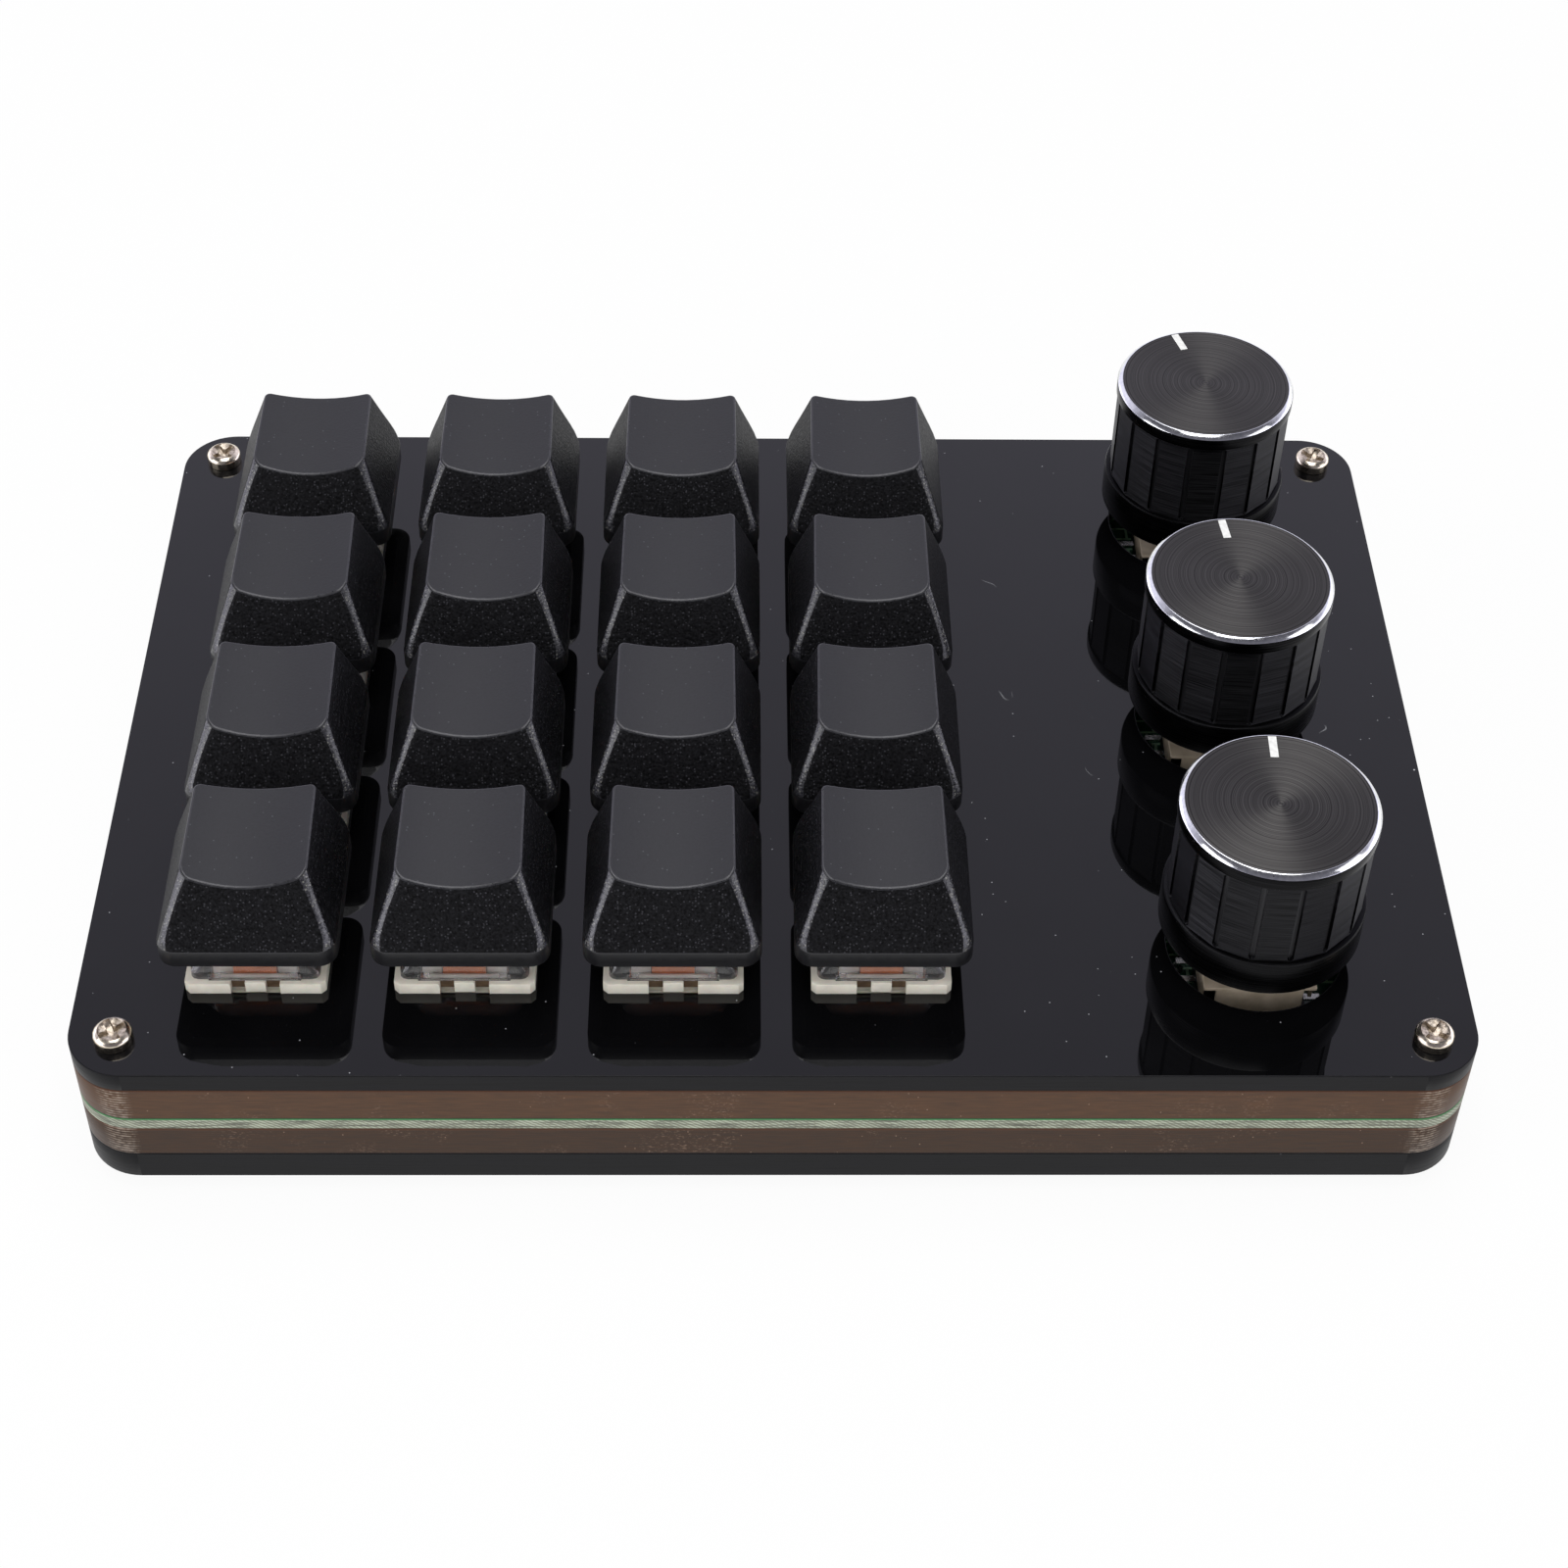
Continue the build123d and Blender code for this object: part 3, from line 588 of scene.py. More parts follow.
def materials_of(colours, *keys):
    """The plainer materials. One with fixed tones is shared by the operators, and one with a
    colour property is made anew, to take up a changed colour. A recipe holds what surfaced takes,
    and after that the spacing, size, share and tone of specks on it."""
    cap = {"IOR": 1.52, "detail": 1.0}
    lathe = {**METAL, "stretch": (60, 60, 1), "detail": 2.0, "Anisotropic_Rotation": 0.25}
    recipes = {
        # the milled edge of the black sheet is satin dark grey, with the cutter's level lines
        "milled": (
            "milled acrylic edge", ("#08080a", "#151518"), (0.36, 0.52), 0.22, 0.004,
            {"stretch": (30, 30, 1), "IOR": 1.49, "Specular_IOR_Level": 0.15},
            1.6, 0.12, 0.1, "#3c3c40",
        ),
        # ABS with a fine etched texture on the dish is dull charcoal with sparse bright specks; its
        # tone, lighter than the slopes', is partly the etched texture and partly painted light on
        # the top
        "dish": (
            "etched ABS dish", shades(colours.cap, 0.95, 1.8), (0.52, 0.62), 0.3, 0.012,
            {"IOR": 1.52, "Specular_IOR_Level": 0.4}, 0.5, 0.1, 0.12, "#47484c",
        ),
        # ABS from a spark-eroded tool has a grain that breaks the light into glitter; its bright
        # specks are painted glints, and its tone, darker than the dish's and the lip's, is painted
        # shade on the slopes
        "slope": (
            "spark-eroded ABS slope", shades(colours.cap, 0.1, 0.8), (0.42, 0.58), 0.26, 0.03,
            {**cap, "Specular_IOR_Level": 0.14}, 0.3, 0.11, 0.36, "#333337",
        ),
        # the rounded ridges are given a lighter tone and bright specks: a painted highlight, a
        # glittering line
        "ridge": (
            "spark-eroded ABS ridge", shades(colours.cap, 1.2, 3.6), (0.22, 0.36), 0.26, 0.02,
            {**cap, "Specular_IOR_Level": 0.7}, 0.3, 0.12, 0.45, "#6a6964",
        ),
        # ABS from the polished part of the tool is smooth satin black
        "lip": (
            "polished ABS lip", shades(colours.cap, 0.8, 1.1), (0.34, 0.44), 0.6, 0.004,
            {"IOR": 1.52, "Specular_IOR_Level": 0.45},
        ),
        # ABS rubbed smooth by fingers is less rough; its lighter tone on the dish's rim and the
        # lip's upper edge is a painted highlight, a thin line
        "rim": (
            "worn ABS rim", shades(colours.cap, 1.4, 2.4), (0.26, 0.4), 0.4, 0.006, {"IOR": 1.52},
        ),
        # turned black anodised aluminium: level tool marks draw the light into upright bands
        "facet": (
            "turned anodised facet", shades(colours.knob, 0.3, 1.2), (0.38, 0.52), 0.1, 0.001,
            {**lathe, "Anisotropic": 0.9},
        ),
        # turned with a round-nosed tool, it is smoother than the facets; its darker tone is painted
        # shade
        "band": (
            "fine-turned anodised band", shades(colours.knob, 0.15, 0.4), (0.22, 0.34), 0.12,
            0.001, {**lathe, "Anisotropic": 0.3},
        ),
        # a flute's oxide is duller than the facets; its lighter grey is a painted reflection of the
        # grey it mirrors
        "flute": (
            "milled anodised flute", shades(colours.knob, 0.9, 1.7), (0.5, 0.6), 0.3, 0.002,
            {**METAL, "stretch": (1, 1, 30)},
        ),
        # aluminium cut with a diamond after anodising is a bright mirror with a few nicks
        "cut": (
            "diamond-cut aluminium", ("#dcdee2", "#f2f3f4"), (0.1, 0.16), 0.45, 0, METAL,
            0.9, 0.1, 0.06, "#8c8e94",
        ),
        # stoving enamel in the index line is white with a soft gloss
        "paint": (
            "filled white enamel", ("#dcdcd9", "#f4f4f2"), (0.35, 0.45), 0.5, 0.003, {"IOR": 1.5},
        ),
        # bright nickel plate on steel mirrors the room with a slight warmth
        "nickel": (
            "bright nickel plate", ("#d9cdb9", "#f4e8d4"), (0.16, 0.26), 0.5, 0.001, METAL,
        ),
        # the cross recess is given a dull brownish grey, darker than the head: painted shade, with
        # lighter patches where the punch rubbed
        "punched": (
            "punched nickel recess", ("#85786a", "#e6dac8"), (0.34, 0.5), 0.35, 0.004, METAL,
        ),
        # spring steel wire is bluish grey with drawn lines
        "steel": ("drawn spring steel", ("#8c8e90", "#b9bbbd"), (0.2, 0.32), 0.1, 0.002, METAL),
        # tinned sheet is dull warm grey, with cloudy patches
        "tin": (
            "matt tinned sheet steel", ("#c4b39c", "#dfcfba"), (0.4, 0.55), 1.5, 0.003,
            {"Metallic": 0.3},
        ),
        # fresh tin on a terminal is silvery
        "silver": ("tin-plated brass", ("#b8b6b0", "#e2e1dc"), (0.18, 0.32), 0.4, 0.004, METAL),
        # rolled brass is yellow with a few darker streaks
        "brass": ("rolled brass strip", ("#a8873f", "#d9b768"), (0.2, 0.35), 0.4, 0.003, METAL),
        # die-cast zinc is grey and slightly mottled
        "zinc": ("die-cast zinc", ("#85878a", "#b4b6b9"), (0.3, 0.45), 0.8, 0.008, METAL),
        # drawn aluminium is light and satin, its lines running along the shaft
        "aluminium": (
            "drawn aluminium", ("#b4b6b9", "#dddedf"), (0.24, 0.36), 0.2, 0.004,
            {**METAL, "stretch": (1, 1, 20)},
        ),
        # filled phenolic is dull black with a faint grey mottle
        "resin": (
            "phenolic moulding", ("#121212", "#222222"), (0.45, 0.6), 0.6, 0.008, {"IOR": 1.55},
        ),
        # rubber is matt black with pale grit pressed into it
        "rubber": (
            "moulded rubber", ("#0f0f0f", "#1f1f1f"), (0.65, 0.85), 0.7, 0.02, {"IOR": 1.52},
            1.5, 0.12, 0.2, "#4a4a48",
        ),
        # natural nylon is warm cream and slightly waxy
        "cream": (
            "moulded nylon", shades(colours.cream, 0.92, 1.08), (0.32, 0.45), 1.6, 0.006,
            {"IOR": 1.53, "Subsurface_Weight": 0.12, "Subsurface_Scale": 0.0006},
        ),
        # a dull brown for the bar put in the notch: painted shade where the notch lies in shadow
        "shade": (
            "thin moulded nylon", ("#5c4a3a", "#7c6650"), (0.4, 0.5), 0.8, 0.006, {"IOR": 1.53},
        ),
        # polycarbonate is clear with a faint grey cast and soft flow marks
        "clear": (
            "moulded polycarbonate", ("#e4e4e2", "#f6f6f4"), (0.03, 0.08), 1.4, 0.003,
            {"IOR": 1.58, "Transmission_Weight": 0.95},
        ),
        # dyed acetal is bright orange and slippery
        "orange": (
            "moulded acetal", shades(colours.stem, 0.9, 1.1), (0.28, 0.4), 1.2, 0.005,
            {"IOR": 1.48},
        ),
    }
    made = []
    for key in keys:
        *values, settings = recipes[key][:6]
        fixed = all(isinstance(tone, str) for tone in values[1])
        material = bpy.data.materials.get(values[0]) if fixed else None
        if not material:
            surface = surfaced(*values, **settings)
            material = surface.material
            if recipes[key][6:]:
                *dots, tone = recipes[key][6:]
                covered(surface, specks(surface, *dots), tone)
        made.append(material)
    return made


# ---- pieces --------------------------------------------------------------------------------------


class KEYPAD_OT_stage(bpy.types.Operator):
    """Make the floor, the light and the camera"""

    bl_idname = "keypad.stage"
    bl_label = "Stage"

    floor_size = 3000  # half a side, in millimetres
    floor_glow = 0.93  # the share of the floor's white that shines by itself
    softboxes = (
        ("softbox overhead", (0.0, 0.0, 0.9), (0.5, 1.0), 5.9),
        ("softbox left", (-0.75, -0.32, 0.36), (0.55, 0.5), 2.0),
        ("softbox right", (0.78, -0.24, 0.34), (0.4, 0.4), 0.8),
    )

    def execute(self, context):
        scene = context.scene
        scene.view_settings.view_transform = "Standard"

        bm = bmesh.new()
        bmesh.ops.create_grid(bm, x_segments=2, y_segments=2, size=self.floor_size)
        bmesh.ops.scale(bm, vec=(MM, MM, MM), verts=bm.verts)
        mesh = bpy.data.meshes.new("floor")
        bm.to_mesh(mesh)
        bm.free()
        floor = bpy.data.objects.new("floor", mesh)
        scene.collection.objects.link(floor)
        # white paper: seen directly it is nearly white and keeps a faint shadow
        material = bpy.data.materials.new("white paper sweep")
        material.use_nodes = True
        tree = material.node_tree
        tree.nodes.clear()
        paper = add(tree, "BsdfDiffuse", {"Color": rgba("#ececec")})
        white = add(tree, "Emission", {"Color": (1, 1, 1, 1), "Strength": 1.0})
        path = add(tree, "LightPath", give=None).outputs
        # painted shade: shiny surfaces see the floor dim in front, as where someone stands in the
        # light
        place = add(tree, "TexCoord", give="Object")
        parts = add(tree, "SeparateXYZ", {"Vector": place}, give=None).outputs
        front = add(tree, "MapRange", {
            "Value": parts["Y"], "From Min": -0.3, "From Max": -0.09, "To Min": 0.2, "To Max": 1.0,
        })
        beside = add(tree, "Math", {0: parts["X"]}, operation="ABSOLUTE")
        beside = add(tree, "MapRange", {"Value": beside, "From Min": 0.15, "From Max": 0.45})
        lit = add(tree, "Math", {0: front, 1: beside}, operation="MAXIMUM")
        lit = add(tree, "Math", {0: lit, 1: path["Is Glossy Ray"]}, operation="MULTIPLY")
        seen = add(tree, "Math", {
            0: path["Is Camera Ray"], 1: path["Is Transmission Ray"],
        }, operation="MAXIMUM")
        seen = add(tree, "Math", {0: seen, 1: lit}, operation="MAXIMUM")
        share = add(tree, "Math", {0: seen, 1: self.floor_glow}, operation="MULTIPLY")
        blend = add(tree, "MixShader", {0: share, 1: paper, 2: white})
        add(tree, "OutputMaterial", {"Surface": blend}, give=None)
        mesh.materials.append(material)

        # the room that shiny surfaces mirror: a white sweep behind, a darker ceiling, a dim front
        world = bpy.data.worlds.new("studio")
        world.use_nodes = True
        scene.world = world
        tree = world.node_tree
        tree.nodes.clear()
        direction = add(tree, "TexCoord")
        parts = add(tree, "SeparateXYZ", {"Vector": direction}, give=None).outputs
        behind = add(tree, "MapRange", {
            "Value": parts["Y"], "From Min": 0.0, "From Max": 0.5, "To Min": 0.18, "To Max": 1.0,
        })
        ceiling = add(tree, "MapRange", {
            "Value": parts["Z"], "From Min": 0.5, "From Max": 0.85, "To Min": 1.0, "To Max": 0.45,
        })
        beside = add(tree, "Math", {0: parts["X"]}, operation="ABSOLUTE")
        beside = add(tree, "MapRange", {
            "Value": beside, "From Min": 0.45, "From Max": 0.8, "To Min": 0.15, "To Max": 2.6,
        })
        horizon = add(tree, "MapRange", {
            "Value": parts["Z"], "From Min": 0.1, "From Max": 0.4, "To Min": 1.0, "To Max": 0.0,
        })
        horizon = add(tree, "Math", {0: horizon, 1: beside}, operation="MULTIPLY")
        room = add(tree, "Math", {0: behind, 1: ceiling}, operation="MULTIPLY")
        room = add(tree, "Math", {0: room, 1: horizon}, operation="MAXIMUM")
        path = add(tree, "LightPath", give=None).outputs
        seen = add(tree, "Math", {
            0: path["Is Camera Ray"], 1: path["Is Transmission Ray"],
        }, operation="MAXIMUM")
        # matt surfaces are lit mostly from the front, which brings light in under the keycaps
        matt = add(tree, "MapRange", {
            "Value": parts["Y"], "From Min": -0.6, "From Max": 0.2, "To Min": 0.9, "To Max": 0.14,
        })
        fill = add(tree, "Mix", {0: path["Is Glossy Ray"], 2: matt, 3: room})
        strength = add(tree, "Math", {0: seen, 1: fill}, operation="MAXIMUM")
        cool = add(tree, "Mix", {
            0: path["Is Glossy Ray"], 6: (1, 1, 1, 1), 7: (0.96, 0.94, 1.12, 1),
        }, data_type="RGBA", give=MIXED_COLOUR)
        sky = add(tree, "Background", {"Color": cool, "Strength": strength})
        add(tree, "OutputWorld", {"Surface": sky}, give=None)

        middle = Vector((0, 0, 0.02))
        for name, place, (width, depth), power in self.softboxes:
            light = bpy.data.lights.new(name, "AREA")
            light.shape = "RECTANGLE"
            light.size, light.size_y = width, depth
            light.energy = power
            light.color = (0.98, 0.98, 1.0)
            obj = bpy.data.objects.new(name, light)
            obj.location = place
            obj.rotation_euler = (middle - Vector(place)).to_track_quat("-Z", "Y").to_euler()
            scene.collection.objects.link(obj)

        view = bpy.data.cameras.new("camera")
        view.sensor_width = 36.0
        view.lens = 67.31
        view.clip_start, view.clip_end = 0.01, 20.0
        camera = bpy.data.objects.new("camera", view)
        camera.location = (-4.2347 * MM, -236.1294 * MM, 251.3954 * MM)
        camera.rotation_euler = (0.773072, -0.01332, -0.0103435)
        scene.collection.objects.link(camera)
        scene.camera = camera
        return {"FINISHED"}


class KEYPAD_OT_plates(bpy.types.Operator):
    """Make the two black plates, the two brown spacers and the circuit board"""

    bl_idname = "keypad.plates"
    bl_label = "Plates"

    screw_hole = 2.3
    peg_hole = 4.1
    cutout_corner = 0.4
    fill = 5.0  # how far the spacers' walls reach into the corners round the screws
    gap = 4.72  # half the width of the upper spacer's opening for the socket
    level_normal = 0.999  # faces less level than this belong to a sheet's cut edge
    shaded = 0.54  # painted shade: the lower spacer's tone as a share of the upper one's, as less light gets to it

    def execute(self, context):
        size = in_mm(context.scene.keypad_sizes)
        colours = context.scene.keypad_colours
        low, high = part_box("top_plate")
        width, depth = (high.x - low.x) / MM, (high.y - low.y) / MM
        outline = rounded(width, depth, size.plate_corner)
        across, along = width / 2 - size.screw_inset, depth / 2 - size.screw_inset
        screws = [circle(self.screw_hole, sx * across, sy * along) for sx in SIDES for sy in SIDES]
        inner_x, inner_y = width / 2 - size.spacer_wall, depth / 2 - size.spacer_wall
        short_x, short_y = inner_x - self.fill, inner_y - self.fill
        window = polygon(
            (inner_x, short_y), (short_x, inner_y), (-short_x, inner_y), (-inner_x, short_y),
            (-inner_x, -short_y), (-short_x, -inner_y), (short_x, -inner_y), (inner_x, -short_y),
        )
        keys = [axis_of(f"stem_{row}_{column}") for row, column in KEYS]
        dials = [axis_of(f"knob_{number}") for number in DIALS]
        cutouts = [rounded(size.cutout, size.cutout, self.cutout_corner, *key) for key in keys]
        rounds = [circle(size.dial_hole, *dial) for dial in dials]
        pegs = [circle(self.peg_hole, *key) for key in keys]
        # the upper frame's outline runs in through the gap and round the window
        right_out, right_in, left_in, left_out = polygon(
            (self.gap, depth / 2), (self.gap, inner_y), (-self.gap, inner_y), (-self.gap, depth / 2)
        )
        around = [window[i] for i in (1, 0, 7, 6, 5, 4, 3, 2)]
        open_frame = [right_out, right_in, *around, left_in, left_out, *outline[2:], *outline[:2]]

        sheets = [black_acrylic(colours), *materials_of(colours, "milled")]
        board = [solder_mask(colours), board_edge(colours, level("circuit_board", 1))]
        upper, lower = (
            [brown_acrylic(colours, level(node, 0), level(node, 1), (across, along), share)]
            for node, share in (("upper_spacer", 1.0), ("lower_spacer", self.shaded))
        )
        for node, outlines, materials, slot in (
            ("top_plate", [outline, *screws, *cutouts, *rounds], sheets, "black_acrylic"),
            ("bottom_plate", [outline, *screws], sheets, "black_acrylic"),
            ("upper_spacer", [open_frame, *screws], upper, "brown_acrylic"),
            ("lower_spacer", [outline, window, *screws], lower, "brown_acrylic"),
            ("circuit_board", [outline, *screws, *pegs], board, "fibreglass_board"),
        ):
            bm = sheet_cut(outlines, level(node, 0), level(node, 1), size.plate_edge)
            if len(materials) > 1:
                painted(bm, 1, lambda face: abs(face.normal.z) < self.level_normal)
            piece(f"{node}_finish", bm, materials, "chassis", [node], slot, flat=True)
        return {"FINISHED"}


class KEYPAD_OT_keycaps(bpy.types.Operator):
    """Make the sixteen keycaps"""

    bl_idname = "keypad.keycaps"
    bl_label = "Keycaps"

    rake = 2.4  # degrees
    trough_spare = 0.7  # how much wider the dish's trough is than the top
    roof = 1.1  # thickness under the dish
    socket = 2.12  # radius of the hole for the stem
    socket_depth = 3.8
    post = 2.75  # radius of the post round the socket
    side_slots = (0.015, 0.1, 0.22, 0.34, 0.45, 0.55, 0.66, 0.78, 0.9, 0.985)

    def execute(self, context):
        size = in_mm(context.scene.keypad_sizes)
        slots, on_square = round_square(8, self.side_slots)
        tilt = math.tan(math.radians(self.rake))
        chord = size.cap_top_width + self.trough_spare
        sagitta = size.cap_dish * (chord / size.cap_top_width) ** 2
        dish_radius = ((chord / 2) ** 2 + sagitta**2) / (2 * sagitta)
        roof = size.cap_height - size.cap_dish - size.cap_top_depth / 2 * tilt - self.roof
        front, back = size.cap_front_corner, size.cap_back_corner

        def dish(x, y):
            """The height of the dish: a trough along Y, raked up to the back."""
            sunk = dish_radius - sagitta - math.sqrt(dish_radius**2 - min(abs(x), chord / 2) ** 2)
            return size.cap_height + tilt * (y - size.cap_back_shift) + sunk

        def slope(number, z, inset=0.0):
            """A point of the slopes. The ridges are round at the lip and sharper higher up."""
            share = (z - size.cap_lip) / (size.cap_height - size.cap_lip)
            width = size.cap_base - (size.cap_base - size.cap_top_width) * share - 2 * inset
            depth = size.cap_base - (size.cap_base - size.cap_top_depth) * share - 2 * inset
            near_lip = max(1 - share * 3.5, 0) ** 2
            near_top = max(share * 2 - 1, 0) ** 2
            radii = [
                max(size.cap_ridge + (size.cap_lip_corner - size.cap_ridge) * near_lip
                    + (corner - size.cap_ridge) * near_top - inset, 0.3)
                for corner in (back, back, front, front)
            ]
            x, y = on_square(number, width, depth, radii, size.cap_back_shift * share)
            return Vector((x, y, z))

        def rim(number):
            """Where the slope meets the dish, found in a few steps."""
            z = size.cap_height
            for _ in range(6):
                point = slope(number, z)
                z = dish(point.x, point.y)
            return slope(number, z)

        def on_slope(z, inset=0.0):
            return lambda number: slope(number, z, inset)

        def rounded_rim(share):
            def place(number):
                corner = rim(number)
                below = slope(number, corner.z - size.cap_rim)
                inner = slope(number, corner.z, size.cap_rim)
                above = Vector((inner.x, inner.y, dish(inner.x, inner.y)))
                return below.lerp(corner, share).lerp(corner.lerp(above, share), share)
            return place

        def on_dish(share):
            def place(number):
                inner = slope(number, rim(number).z, size.cap_rim)
                x = inner.x * share
                y = size.cap_back_shift + (inner.y - size.cap_back_shift) * share
                return Vector((x, y, dish(x, y)))
            return place

        def lip(z, inset):
            def place(number):
                width = size.cap_base - 2 * inset
                radius = size.cap_lip_corner - min(inset, 1.3)
                x, y = on_square(number, width, width, [radius] * 4)
                return Vector((x, y, z))
            return place

        def post(radius, z):
            def place(number):
                corners = [size.cap_lip_corner] * 4
                around = on_square(number, size.cap_base, size.cap_base, corners)
                return (around.normalized() * radius).to_3d() + Vector((0, 0, z))
            return place

        wall = size.cap_wall
        top, side, smooth, rubbed_rim_highlight, ridge = 0, 1, 2, 3, 4
        # the crease over the lip and the rounded rim take the rim material's painted highlight
        rings = [
            (post(self.socket, self.socket_depth), side), (post(self.socket, 0.0), side),
            (post(self.post, 0.0), side), (post(self.post, roof), side),
            (on_slope(roof, wall), side), (lip(size.cap_lip, wall), side), (lip(0.1, wall), side),
            (lip(0.0, wall - 0.1), smooth), (lip(0.0, 0.12), smooth), (lip(0.035, 0.035), smooth),
            (lip(0.12, 0.0), smooth), (lip(size.cap_lip - 0.1, 0.0), smooth),
            (lip(size.cap_lip - 0.02, 0.015), smooth), (on_slope(size.cap_lip + 0.06), rubbed_rim_highlight),
            *[(on_slope(z), side) for z in (2.7, 3.4, 4.6, 6.0, 7.2)],
            (rounded_rim(0.0), side), *[(rounded_rim(step / 4), rubbed_rim_highlight) for step in range(1, 5)],
            *[(on_dish(share), top) for share in (0.985, 0.9, 0.75, 0.6, 0.45, 0.3, 0.15)],
        ]

        def on_ridge(face):
            """A ridge faces two sides at once."""
            slanting = min(abs(face.normal.x), abs(face.normal.y)) > 0.28
            return face.material_index == side and slanting

        colours = context.scene.keypad_colours
        materials = materials_of(colours, "dish", "slope", "lip", "rim", "ridge")
        for row, column in KEYS:
            node = f"keycap_{row}_{column}"
            # the ridge faces take the painted highlight
            bm = painted(lofted(slots, rings), ridge, on_ridge)
            moved(bm, *axis_of(f"stem_{row}_{column}"), level(node, 0))
            body = f"key_{row}_{column}"
            piece(f"{node}_finish", bm, materials, body, [node], "black_keycap", angle=40)
        return {"FINISHED"}


class KEYPAD_OT_knobs(bpy.types.Operator):
    """Make the three fluted knobs and their index lines"""

    bl_idname = "keypad.knobs"
    bl_label = "Knobs"

    flutes = 16
    flute_turn = -82.4  # degrees
    index_turns = (-16.4, -5.9, 1.8)  # degrees
    index_width, index_length = 0.85, 3.0
    index_gap = 0.2  # between the index line and the bright ring
    bore = 3.05  # radius of the hole for the shaft
    bore_depth = 13.9
    recess = 6.5  # radius of the hollow round the encoder's collar
    recess_depth = 4.4
    sunk = 0.04  # how far the faced top lies below the bright ring
    # one sector's slots: a flute's in half widths from its middle, then the facet's as shares
    in_flute = (-1.3, -1.04, -0.96, -0.5, 0.0, 0.5, 0.96, 1.04, 1.3)
    on_facet = (0.2, 0.35, 0.5, 0.65, 0.8)

    def execute(self, context):
        size = in_mm(context.scene.keypad_sizes)
        colours = context.scene.keypad_colours
        height = level("knob_1", 1) - level("knob_1", 0)
        base, top, ring = size.knob_base / 2, size.knob_top / 2, size.knob_ring
        flat_radius = top - size.knob_facet
        half = size.flute_width / 2
        floor = top - size.flute_depth - 0.12
        sector = math.tau / self.flutes
        in_flute, on_facet = self.in_flute, self.on_facet
        per_sector = len(in_flute) + len(on_facet)
        low, high = 4.4, height - 1.9  # the levels between which the flutes run

        def polar(number, opening):
            """The angle of a slot, and whether it lies in the flute, which opens this far."""
            which, step = divmod(number, per_sector)
            if step < len(in_flute):
                reach = in_flute[step]
                spread = opening if abs(reach) < 1.2 else half
                sunk = abs(reach) < 1 and opening > 0
                return which * sector + reach * spread / flat_radius, sunk
            margin = in_flute[-1] * half / flat_radius
            share = on_facet[step - len(in_flute)]
            return which * sector + margin + (sector - 2 * margin) * share, False

        def band(radius, z):
            return lambda number: around_axis(radius, polar(number, half)[0], z)

        def grip(z, opening):
            def place(number):
                angle, sunk = polar(number, opening)
                off = (angle / sector) % 1.0 - 0.5
                facet_radius = min(flat_radius / math.cos(off * sector), top)
                return around_axis(floor if sunk else facet_radius, angle, z)
            return place

        def flute_end(tip, inward, drop):
            """A ring across a flute's round end, at this drop from its tip."""
            opening = math.sqrt(max(half**2 - (half - drop) ** 2, 0))
            return grip(tip + inward * drop, opening)

        drops = [half * share for share in (0.02, 0.15, 0.4, 0.7, 1.0)]
        side, face, bright, milled, facet = 0, 1, 2, 3, 4
        sunk_face = height - self.sunk
        rings = [
            *[(band(radius, z), side) for radius, z in (
                (self.bore, self.bore_depth), (self.bore, self.recess_depth),
                (self.recess, self.recess_depth), (self.recess, 0.15), (self.recess + 0.15, 0.0),
                (base - 0.25, 0.0), (base - 0.08, 0.07), (base, 0.25), (base, low - 0.3),
                (base - 0.08, low - 0.09), (base - 0.3, low),
            )],
            (grip(low + 0.01, 0), side),
            *[(flute_end(low + 0.1, 1, drop), facet) for drop in drops],
            *[(flute_end(high - 0.1, -1, drop), facet) for drop in reversed(drops)],
            (grip(high, 0), facet),
            *[(band(radius, z), side) for radius, z in (
                (top - 0.06, high + 0.01), (top, high + 0.08), (top, height - ring - 0.12),
                (top - 0.04, height - ring - 0.03),
            )],
            *[(band(radius, z), bright) for radius, z in (
                (top - 0.06, height - ring), (top - ring - 0.03, height - 0.02),
                (top - ring - 0.07, height), (top - ring - 0.13, height),
            )],
            *[(band(radius, sunk_face), face) for radius in (top - ring - 0.17, 6.5, 3.0, 0.6)],
        ]

        def in_a_flute(part):
            middle = part.calc_center_median()
            return low < middle.z < high and middle.xy.length < floor + 0.01

        lower, cut, flute, turned_facet, paint = materials_of(
            colours, "band", "cut", "flute", "facet", "paint"
        )
        for number in DIALS:
            node, body = f"knob_{number}", f"dial_{number}"
            x, y = axis_of(node)
            foot = level(node, 0)
            bm = painted(lofted(per_sector * self.flutes, rings), milled, in_a_flute)
            moved(bm, x, y, foot, math.radians(self.flute_turn))
            materials = [lower, faced_top(colours, (x, y), number), cut, flute, turned_facet]
            piece(f"{node}_finish", bm, materials, body, [node], "black_anodised", angle=28)
            line = block(
                self.index_width, self.index_length, height - 0.06, height - 0.02, 0.012, 0,
                top - ring - self.index_gap - self.index_length / 2, 1,
            )
            moved(line, x, y, foot, -math.radians(self.index_turns[number - 1]))
            piece(f"index_line_{number}", line, [paint], body, [], "black_anodised")
        return {"FINISHED"}


